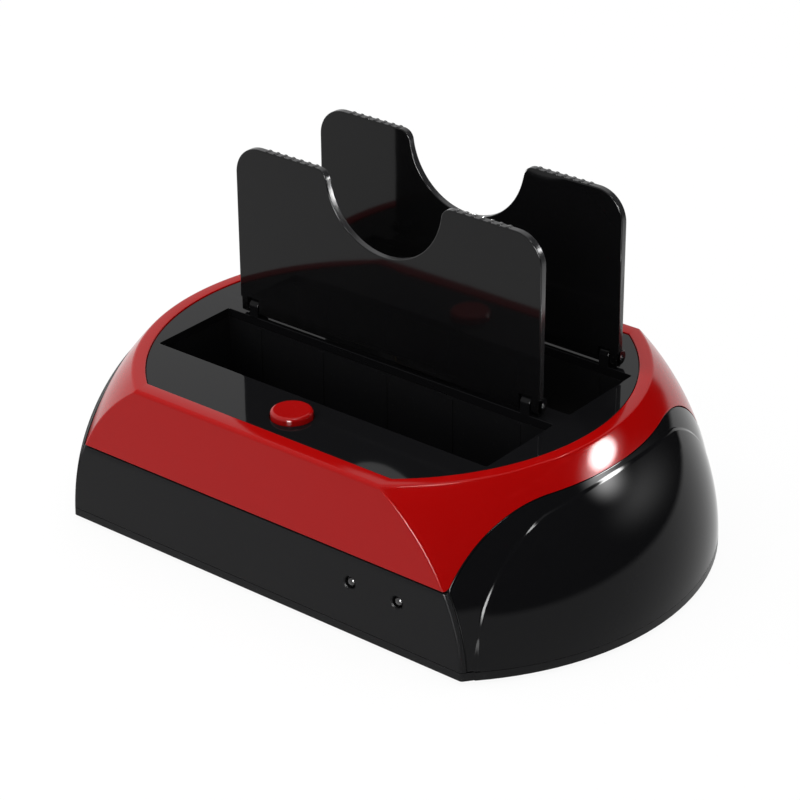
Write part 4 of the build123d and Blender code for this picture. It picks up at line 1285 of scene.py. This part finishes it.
@dataclass
class TopPlate(SubAssembly):
    """The gloss plate with its bay mouths, button hole, hinge ears and switch board posts."""

    radius: float = 62.4
    half: float = 48.5
    corner: float = 0.8
    top: float = 44.0
    thick: float = 2.4
    edge: float = 0.1
    bay_half: float = 53.0
    bay_corner: float = 0.6
    bays: tuple[Flat, Flat] = ((-30.0, -3.3), (3.3, 30.0))
    button: Flat = (0.0, -39.0)
    button_hole: float = 5.6
    ear: Flat = (42.7, 45.7)
    ear_edge: float = 0.25
    hinge: float = 46.7
    hinge_lines: Flat = (-1.2, 32.1)
    knuckle: float = 2.1
    post_x: float = 10.0
    post_foot: float = 35.55
    post_bore: float = 0.95
    post_radius: float = 2.2
    post_soft: float = 0.2

    def _mouth(self, low: float, high: float) -> list[Flat]:
        """Outline of one bay mouth with small round corners."""
        r = self.bay_corner
        x = self.bay_half - r
        corners = ((x, high - r), (-x, high - r), (-x, low + r), (x, low + r))
        return [spot for i, c in enumerate(corners) for spot in arc(c, r, 90 * i, 90 * i + 90, 4)]

    def _ear(self, side: int, line: float) -> bpy.types.Object:
        """One hinge ear, round about the hinge line, standing on the plate."""
        foot = self.top - 0.2
        loop = [(-self.knuckle, foot), (self.knuckle, foot)]
        loop += arc((0.0, self.hinge), self.knuckle, 0, 180, 20)
        middle = Matrix.Translation((side * (self.ear[0] + self.ear[1]) / 2, line, 0.0))
        return sheet_of("ear", [loop], self.ear[1] - self.ear[0], self.ear_edge,
                        middle @ turned(90.0, "Z") @ turned(90.0, "X"))

    def _post(self, side: int) -> bpy.types.Object:
        """One hollow post that carries the switch board."""
        under, foot, bore = self.top - self.thick, self.post_foot, self.post_bore
        r, soft = self.post_radius, self.post_soft
        profile = [(bore, foot), (r - soft, foot), (r, foot + soft), (r, under), (bore, under)]
        turn = Matrix.Translation((side * self.post_x, self.button[1], 0.0))
        return lathe("post", profile, 28, turn)

    def build(self) -> None:
        """Cut the plate, stand its ears and posts on it and dress it."""
        form = CasingForm(half_depth=self.half, arc_count=120)
        outline = [(float(x), float(y)) for x, y in
                   form.outline(self.radius, self.half, self.corner)]
        hole = arc(self.button, self.button_hole, 0, 355, 71)
        loops = [outline, *[self._mouth(low, high) for low, high in self.bays], hole]
        place = Matrix.Translation((0.0, 0.0, self.top - self.thick / 2))
        parts = [sheet_of("plate", loops, self.thick, self.edge, place)]
        for side in (-1, 1):
            parts.append(self._post(side))
            parts += [self._ear(side, line) for line in self.hinge_lines]
        plate = joined("top_plate_piece", parts)
        self.wear(plate, Finish.GLOSS_BLACK, stands_for=["top_plate"])


@dataclass
class Flap(SubAssembly):
    """A guard flap about its hinge line, with its notch, knuckles and ribbed top edges.

    Attributes:
        node: The CAD node that it stands for.
        body: The body that it rides on.
        line: Place of the hinge line along Y.
        hinge: Height of the hinge line.
        half_width: Half of the flap's width.
        reach: Its top edge, from the hinge line.
        thick: Its thickness.
        edge: Radius of its rounded edges.
        corner: Radius of its upper corners.
        notch: Radius of the finger notch.
        mouth: Radius at the notch's mouth.
        knuckle: Radius of the knuckles.
        knuckle_bore: Radius of their bore.
        knuckle_soft: Width of their soft edges.
        knuckle_ends: Where a knuckle starts and ends along X.
        slot: Where the slot for an ear starts and ends along X.
        slot_top: Top of that slot, from the hinge line.
        heel: Radius of the round foot.
        grip_pitch: Spacing of the grip's ribs.
        grip_first: Place of the first one along X.
        grip_count: How many there are on a side.
        grip_radius: Their radius.
        grip_proud: How far they stand proud.
        grip_short: How much shorter they are than the flap is thick.
    """

    node: str = "front_flap"
    body: str = "front_flap_body"
    line: float = -1.2
    hinge: float = 46.7
    half_width: float = 48.6
    reach: float = 45.3
    thick: float = 2.0
    edge: float = 0.32
    corner: float = 8.0
    notch: float = 18.4
    mouth: float = 3.0
    knuckle: float = 2.1
    knuckle_bore: float = 0.85
    knuckle_soft: float = 0.2
    knuckle_ends: Flat = (46.0, 48.2)
    slot: Flat = (42.4, 46.0)
    slot_top: float = 2.4
    heel: float = 2.35
    grip_pitch: float = 2.6
    grip_first: float = 22.4
    grip_count: int = 7
    grip_radius: float = 1.0
    grip_proud: float = 0.24
    grip_short: float = 0.3

    def _outline(self) -> list[Flat]:
        """Outline about the hinge line, anticlockwise from the foot's left end."""
        (inner, outer), step = self.slot, self.knuckle_ends[1]
        right: list[Flat] = [
            (inner, -self.heel), (inner, self.slot_top), (outer, self.slot_top),
            (outer, -self.heel), (step, -self.heel), (step, self.knuckle),
            (self.half_width, self.knuckle)]
        right += arc((self.half_width - self.corner, self.reach - self.corner), self.corner,
                     0, 90, 20)
        across = math.sqrt((self.notch + self.mouth) ** 2 - self.mouth ** 2)
        turn = math.degrees(math.atan2(self.mouth, across))
        right += arc((across, self.reach - self.mouth), self.mouth, 90, 180 - turn, 10)
        right += arc((0.0, self.reach), self.notch, -turn, -90, 40)[1:]
        return right + [(-x, z) for x, z in reversed(right[:-1])]

    def _heel_cutter(self) -> bpy.types.Object:
        """What is cut away so that the foot is round about the hinge line."""
        front, back, over = -self.knuckle, self.thick - self.knuckle, 1.0
        start = math.degrees(math.atan2(-math.sqrt(self.heel ** 2 - front ** 2), front))
        stop = math.degrees(math.atan2(-self.heel, back))
        bend = arc((0.0, 0.0), self.heel, start, stop, 12)
        loop = [(front - over, bend[0][1]), *bend, (back + over, bend[-1][1]),
                (back + over, -self.heel - over), (front - over, -self.heel - over)]
        place = Matrix.Translation((0.0, self.line, self.hinge))
        return sheet_of("heel_cutter", [loop], self.half_width * 2 + 4.0, 0.01,
                        place @ turned(90.0, "Z") @ turned(90.0, "X"))

    def _knuckle(self, side: int) -> bpy.types.Object:
        """One round knuckle at the flap's lower corner."""
        (low, high), bore = self.knuckle_ends, self.knuckle_bore
        r, soft = self.knuckle, self.knuckle_soft
        profile = [(bore, low), (r - soft, low), (r, low + soft), (r, high - soft),
                   (r - soft, high), (bore, high)]
        turn = Matrix.Translation((0.0, self.line, self.hinge)) @ turned(side * 90.0, "Y")
        return lathe("knuckle", profile, 36, turn)

    def _grip(self, side: int, middle: float) -> bpy.types.Object:
        """The row of ribs on one side of the notch."""
        height = self.hinge + self.reach + self.grip_proud - self.grip_radius
        start = in_frame([side * self.grip_first, middle, height])
        return Repeater.run("grip", Repeater.rib_row(), {
            "Count": self.grip_count, "Pitch": side * self.grip_pitch * MM,
            "Radius": self.grip_radius * MM, "Length": (self.thick - self.grip_short) * MM,
            "Start": tuple(start), "Finish": WARDROBE.get(Finish.FLAP_BLACK)})

    def build(self) -> None:
        """Cut the sheet, add its knuckles and ribs and dress it."""
        middle = self.line - self.knuckle + self.thick / 2
        place = Matrix.Translation((0.0, middle, self.hinge)) @ turned(90.0, "X")
        sheet = sheet_of("flap", [self._outline()], self.thick, self.edge, place)
        parts = [cut(sheet, [self._heel_cutter()], 40.0)]
        parts += [self._knuckle(side) for side in (-1, 1)]
        parts += [self._grip(side, middle) for side in (-1, 1)]
        flap = joined(f"{self.node}_piece", parts)
        self.wear(flap, Finish.FLAP_BLACK, self.body, [self.node])
        # The narrow edge faces above the ear slots get the lighter copy of the plastic, a painted
        # sheen for the light that they catch.
        flap.data.materials.append(WARDROBE.flap_edge_sheen())
        above = (self.hinge + self.slot_top + FOOT_RISE) * MM
        for face in flap.data.polygons:
            if abs(face.normal.y) < 0.5 and face.center.z > above:
                face.material_index = 1


@dataclass
class PushButton(SubAssembly):
    """The round red button with its soft edge, shallow dish and flange."""

    place: Flat = (0.0, -39.0)
    radius: float = 5.35
    top: float = 45.8
    edge: float = 0.9
    dish: float = 0.12
    roof: float = 1.6
    wall: float = 1.2
    flange: float = 6.3
    flange_low: float = 40.55
    flange_high: float = 41.55
    stem: float = 1.8
    stem_foot: float = 40.3

    def build(self) -> None:
        """Spin the button and dress it."""
        r, e, hollow = self.radius, self.edge, self.top - self.roof
        profile: list[Flat] = [
            (0.0, self.stem_foot), (self.stem, self.stem_foot), (self.stem, hollow),
            (r - self.wall, hollow), (r - self.wall, self.flange_low),
            (self.flange, self.flange_low), (self.flange, self.flange_high), (r, self.flange_high)]
        profile += arc((r - e, self.top - e), e, 0, 90, 8)
        profile += [(r * share, self.top - self.dish * (1 - share ** 2))
                    for share in (0.7, 0.5, 0.3, 0.15, 0.0)]
        button = lathe("push_button_piece", profile, 72, Matrix.Translation((*self.place, 0.0)))
        self.wear(button, Finish.BUTTON_RED, "button_body", ["push_button"])


@dataclass
class Contacts(SubAssembly):
    """Gold contacts in the drive sockets and back sockets.

    Attributes:
        rows: Name, count, pitch, size of one contact and place of the first, for each row.
    """

    rows: tuple[tuple[str, int, float, Point, Point], ...] = (
        ("sata_signal_contacts", 7, 1.27, (0.6, 0.25, 4.6), (-33.25, -18.9, 15.4)),
        ("sata_power_contacts", 15, 1.27, (0.6, 0.25, 4.6), (-19.45, -18.9, 15.4)),
        ("usb_contacts", 2, 2.5, (1.0, 6.4, 0.12), (-5.25, 48.0, 13.95)),
        ("esata_contacts", 7, 1.27, (0.5, 4.2, 0.12), (-28.8, 49.4, 11.3)),
    )

    def build(self) -> None:
        """Lay out each row and dress it."""
        for name, count, pitch, size, start in self.rows:
            row = Repeater.run(name, Repeater.blade_row(), {
                "Count": count, "Pitch": pitch * MM, "Size": tuple(v * MM for v in size),
                "Start": tuple(in_frame(start)), "Finish": WARDROBE.contact_gold()})
            self.wear(row, Finish.CAN_METAL, material=WARDROBE.contact_gold())


class PlainNodes(SubAssembly):
    """Packed solids whose shape stands, dressed in their record's finish."""

    def build(self) -> None:
        """Give every node its finish."""
        for entry in frame["record"]["subparts"]:
            materials = frame["nodes"][entry["node"]].data.materials
            materials.clear()
            materials.append(WARDROBE.get(Finish(entry["material_slot"])))


# ---------------------------------------------------------------- stage


@dataclass(frozen=True)
class Lamp:
    """A soft area light: its name, place and size in metres, and power in watts."""

    name: str
    place: Point
    size: Flat
    power: float


@dataclass(frozen=True)
class Glow:
    """A soft oval light that faces a place on the dock.

    Attributes:
        name: Name of its card.
        spot: The place it faces, in metres.
        turn: Its direction from there, from +X, in degrees.
        climb: Its height angle in degrees.
        reach: Its distance in metres.
        size: Half of its width and half of its height in metres.
        core: Size of the bright middle, as a share of the whole.
        halo: Brightness of the fading part, as a share of the middle's.
        power: Brightness of the middle.
    """

    name: str
    spot: Point
    turn: float
    climb: float
    reach: float
    size: Flat
    core: float
    halo: float
    power: float


LAMPS = (
    Lamp("key_left", (-0.9, -0.5, 1.1), (0.8, 0.8), 8.0),
    Lamp("front_fill", (0.1, -1.4, 0.7), (1.2, 0.6), 4.5),
    Lamp("overhead", (0.1, 0.15, 1.4), (0.9, 0.9), 10.0),
)
GLOWS = (
    Glow("rim_glow", (0.067, -0.005, 0.0418), 44.0, 26.4, 0.012, (0.0125, 0.0085), 0.42, 0.34,
         66.0),
    Glow("cover_glow", (0.0722, -0.0072, 0.039), 43.0, 28.7, 0.01, (0.012, 0.011), 0.001, 1.0,
         24.0),
    Glow("cover_haze", (0.0755, -0.002, 0.031), 47.0, 20.0, 0.02, (0.03, 0.018), 0.001, 1.0, 2.2),
    Glow("notch_glow", (-0.017, -0.0012, 0.075), 47.7, 21.7, 0.04, (0.006, 0.006), 0.6, 0.3, 60.0),
    Glow("shoulder_glow", (0.044, -0.0012, 0.088), 47.7, 21.7, 0.04, (0.006, 0.006), 0.6, 0.3,
         40.0),
    Glow("front_strip", (0.06, -0.05, 0.02), -68.0, 18.0, 0.7, (0.22, 0.3), 0.6, 0.2, 50.0),
    Glow("high_strip", (0.07, -0.03, 0.04), -32.0, 67.0, 0.6, (0.16, 0.05), 0.6, 0.2, 40.0),
)


@dataclass
class Studio:
    """Floor, lights, world and camera.

    Attributes:
        target_turn: The camera's turn round the dock in degrees.
        climb: Its height angle in degrees.
        roll: Its roll in degrees.
        eye: Its place in millimetres.
        lens: Its focal length in millimetres.
        aim: What the lamps point at, in metres.
        ambient: Strength of the world's light.
        screen_span: Start and end of the dark screen round the dock, in degrees.
        screen_reach: Its distance in metres.
        screen_tall: Its height in metres.
        screen_soft: Width of its fading ends in degrees.
        screen_grey: Its tone.
        floor_white: How much of the floor that is seen is plain white.
        floor_grey: Tone of the floor as a lit surface.
        shade_reach: Inner and outer radius of the dark band on the floor, in metres.
        shade_span: Its start and end in degrees.
        shade_grey: Its tone.
        oval_sides: Corners of a glow's card.
        halo_power: How sharply a glow's halo fades.
    """

    target_turn: float = 39.15
    climb: float = 27.58
    roll: float = -0.447
    eye: Point = (397.015, -484.748, 360.796)
    lens: float = 124.2036
    aim: Point = (0.0, 0.0, 0.03)
    ambient: float = 0.55
    screen_span: Flat = (-58.0, 88.0)
    screen_reach: float = 0.5
    screen_tall: float = 1.3
    screen_soft: float = 5.0
    screen_grey: float = 0.006
    floor_white: float = 0.93
    floor_grey: float = 0.85
    shade_reach: Flat = (0.05, 0.15)
    shade_span: Flat = (100.0, 215.0)
    shade_grey: float = 0.03
    oval_sides: int = 32
    halo_power: float = 2.5

    @staticmethod
    def _seen(wires: Wiring) -> bpy.types.NodeSocket:
        """1 for camera, glossy and transmission rays, else 0."""
        path = wires.add("ShaderNodeLightPath").outputs
        direct = wires.calc("MAXIMUM", path["Is Camera Ray"], path["Is Glossy Ray"])
        return wires.calc("MAXIMUM", direct, path["Is Transmission Ray"])

    def world(self) -> None:
        """White for what looks at the background, plainer for what is lit by it."""
        world = bpy.data.worlds.new("studio")
        bpy.context.scene.world = world
        world.use_nodes = True
        world.node_tree.nodes.clear()
        wires = Wiring(world.node_tree)
        soft, white = (wires.out("ShaderNodeBackground", "Background",
                                 {"Color": (1.0, 1.0, 1.0, 1.0), "Strength": strength})
                       for strength in (self.ambient, 1.0))
        wires.add("ShaderNodeOutputWorld",
                  {"Surface": wires.mixed(self._seen(wires), soft, white)})

    def floor(self) -> None:
        """A pale floor that reads white and keeps a faint shadow."""
        side = 3.0
        points = np.array([(-side, -side, 0), (side, -side, 0), (side, side, 0), (-side, side, 0)])
        floor = new_object("studio_floor", points, [(0, 1, 2, 3)])
        made, wires = new_material("floor_white", bare=True)
        share = wires.calc("MULTIPLY", self._seen(wires), self.floor_white)
        matt = wires.out("ShaderNodeBsdfDiffuse", "BSDF", {"Color": (*[self.floor_grey] * 3, 1.0)})
        white = wires.out("ShaderNodeEmission", "Emission")
        wires.add("ShaderNodeOutputMaterial", {"Surface": wires.mixed(share, matt, white)})
        floor.data.materials.append(made)

    def lamp(self, lamp: Lamp) -> None:
        """Hang a soft area light, kept out of reflections."""
        light = bpy.data.lights.new(lamp.name, "AREA")
        light.shape = "RECTANGLE"
        light.size, light.size_y = lamp.size
        light.energy = lamp.power
        made = placed(lamp.name, light)
        made.location = lamp.place
        way = Vector(self.aim) - Vector(lamp.place)
        made.rotation_euler = way.to_track_quat("-Z", "Y").to_euler()
        made.visible_glossy = False

    @staticmethod
    def _hang(card: bpy.types.Object, made: bpy.types.Material) -> None:
        """Dress a card, and let it show in reflections and nowhere else."""
        card.data.materials.append(made)
        card.visible_camera = False
        card.visible_diffuse = False
        card.visible_shadow = False
        card.visible_transmission = False

    @staticmethod
    def _bent(name: str, span: Flat, columns: int, levels: int, low: Flat,
              high: Flat) -> bpy.types.Object:
        """A card bent round the dock.

        Args:
            name: Name of the card.
            span: Its start and end angle in radians.
            columns: Faces round it.
            levels: Faces across it.
            low: Radius and height of its first edge in metres.
            high: The same of its last edge.

        Returns:
            The card.
        """
        points, faces = [], []
        for angle in np.linspace(*span, columns + 1):
            for share in np.linspace(0.0, 1.0, levels + 1):
                reach, z = (a + (b - a) * share for a, b in zip(low, high))
                points.append((reach * math.cos(angle), reach * math.sin(angle), z))
        for i in range(columns):
            for j in range(levels):
                a = i * (levels + 1) + j
                faces.append((a, a + levels + 1, a + levels + 2, a + 1))
        return new_object(name, np.array(points), faces)

    def _veil(self, card: bpy.types.Object, made: bpy.types.Material, wires: Wiring, grey: float,
              mask: bpy.types.NodeSocket) -> None:
        """Hang a card of one grey that is clear where its mask is 0."""
        clear = wires.out("ShaderNodeBsdfTransparent", "BSDF")
        tone = wires.out("ShaderNodeEmission", "Emission", {"Color": (grey, grey, grey, 1.0)})
        wires.add("ShaderNodeOutputMaterial", {"Surface": wires.mixed(mask, clear, tone)})
        self._hang(card, made)

    def dark_screen(self) -> None:
        """A curved dark screen at the right, as a studio sets one beside glossy black."""
        first, last = (math.radians(v) for v in self.screen_span)
        reach, tall, foot = self.screen_reach, self.screen_tall, 0.0005
        card = self._bent("dark_screen", (first, last), 48, 12, (reach, foot), (reach, foot + tall))
        made, wires = new_material("screen_cloth", bare=True)
        place = wires.add("ShaderNodeSeparateXYZ",
                          {"Vector": wires.here()}).outputs
        turn = wires.calc("ARCTAN2", place["Y"], place["X"])
        soft = math.radians(self.screen_soft)
        mask = wires.step(turn, first, first + soft)
        for value, low, high in ((turn, last, last - soft), (place["Z"], 0.0, 0.03),
                                 (place["Z"], tall, tall * 0.7)):
            mask = wires.calc("MULTIPLY", mask, wires.step(value, low, high))
        self._veil(card, made, wires, self.screen_grey, mask)

    def contact_shade(self) -> None:
        """A dark band on the floor close behind the left end, seen in reflections only."""
        inner, outer = self.shade_reach
        span = (math.radians(self.shade_span[0]), math.radians(self.shade_span[1]))
        over = 0.0004
        card = self._bent("contact_shade", span, 40, 6, (inner, over), (outer, over))
        made, wires = new_material("contact_shade_card", bare=True)
        reach = wires.vector("LENGTH", "Value", wires.here())
        self._veil(card, made, wires, self.shade_grey, wires.step(reach, outer, outer * 0.75))

    def glow(self, name: str, centre: Sequence[float], across: Sequence[float],
             upward: Sequence[float], core: float, halo: float, power: float) -> None:
        """A soft oval light that fades to its rim and shows in reflections only.

        Args:
            name: Name of the card.
            centre: Its middle, in metres.
            across: Half of its width as a vector in metres.
            upward: Half of its height as a vector in metres.
            core: Size of the bright middle, as a share of the whole.
            halo: Brightness of the fading part, as a share of the middle's.
            power: Brightness of the middle.
        """
        middle, wide, high = (np.array(v, float) for v in (centre, across, upward))
        turns = np.linspace(0, 2 * math.pi, self.oval_sides + 1)[:-1]
        points = [middle + wide * math.cos(t) + high * math.sin(t) for t in turns]
        card = new_object(name, np.array(points), [tuple(range(self.oval_sides))])
        made, wires = new_material(f"{name}_light", bare=True)
        shift = wires.vector("SUBTRACT", "Vector", wires.here(), tuple(middle))
        x, y = (wires.vector("DOT_PRODUCT", "Value", shift, tuple(axis / float(axis @ axis)))
                for axis in (wide, high))
        flat = wires.out("ShaderNodeCombineXYZ", "Vector", {"X": x, "Y": y})
        gap = wires.vector("LENGTH", "Value", flat)
        bright = wires.step(gap, core * 1.3, core * 0.7)
        fading = wires.calc("POWER", wires.step(gap, 1.0, 0.0), self.halo_power)
        total = wires.calc("MULTIPLY_ADD", fading, halo, bright)
        light = wires.out("ShaderNodeEmission", "Emission",
                          {"Strength": wires.calc("MULTIPLY", total, power)})
        clear = wires.out("ShaderNodeBsdfTransparent", "BSDF")
        wires.add("ShaderNodeOutputMaterial", {
            "Surface": wires.out("ShaderNodeAddShader", "Shader", {0: clear, 1: light})})
        self._hang(card, made)

    def facing(self, row: Glow) -> None:
        """Hang a glow where it faces its place on the dock."""
        a, e = math.radians(row.turn), math.radians(row.climb)
        away = np.array([math.cos(a) * math.cos(e), math.sin(a) * math.cos(e), math.sin(e)])
        across = np.array([-math.sin(a), math.cos(a), 0.0])
        self.glow(row.name, np.array(row.spot) + away * row.reach, across * row.size[0],
                  np.cross(away, across) * row.size[1], row.core, row.halo, row.power)

    def camera(self) -> None:
        """The camera at the photograph's angle."""
        a, e, r = (math.radians(v) for v in (self.target_turn, self.climb, self.roll))
        back = np.array([math.sin(a) * math.cos(e), -math.cos(a) * math.cos(e), math.sin(e)])
        right = np.array([math.cos(a), math.sin(a), 0.0])
        c, s = math.cos(r), math.sin(r)
        spin = np.array([[c, s, 0], [-s, c, 0], [0, 0, 1.0]])
        rows = spin @ np.array([right, np.cross(back, right), back])
        lens = bpy.data.cameras.new("camera")
        lens.lens = self.lens
        lens.sensor_width = 36.0
        lens.sensor_fit = "HORIZONTAL"
        made = placed("camera", lens)
        made.matrix_world = Matrix(
            [[*rows[:, i], self.eye[i] * MM] for i in range(3)] + [[0, 0, 0, 1]])
        bpy.context.scene.camera = made

    def build(self) -> None:
        """Set the whole stage."""
        bpy.context.scene.view_settings.view_transform = "Standard"
        self.world()
        self.floor()
        self.camera()
        for lamp in LAMPS:
            self.lamp(lamp)
        self.dark_screen()
        self.contact_shade()
        for row in GLOWS:
            self.facing(row)
        self.glow("table_strip", (0.087, -0.158, 0.0008), (0.022, 0.0, 0.0), (0.022, -0.11, 0.0),
                  0.72, 0.2, 9.0)


def main() -> None:
    """Build the dock's looks in order and set the stage."""
    logging.basicConfig(level=logging.INFO, format="%(name)s %(message)s")
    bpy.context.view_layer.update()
    assemblies: list[SubAssembly] = [
        PlainNodes(), RedShell(), LowerCase(), SideCover(side=1), SideCover(side=-1), TopPlate(),
        Flap(), Flap(node="rear_flap", body="rear_flap_body", line=32.1), PushButton(), Contacts(),
    ]
    for assembly in assemblies:
        assembly.build()
    Studio().build()
    bpy.context.view_layer.update()


if __name__ == "__main__":
    main()
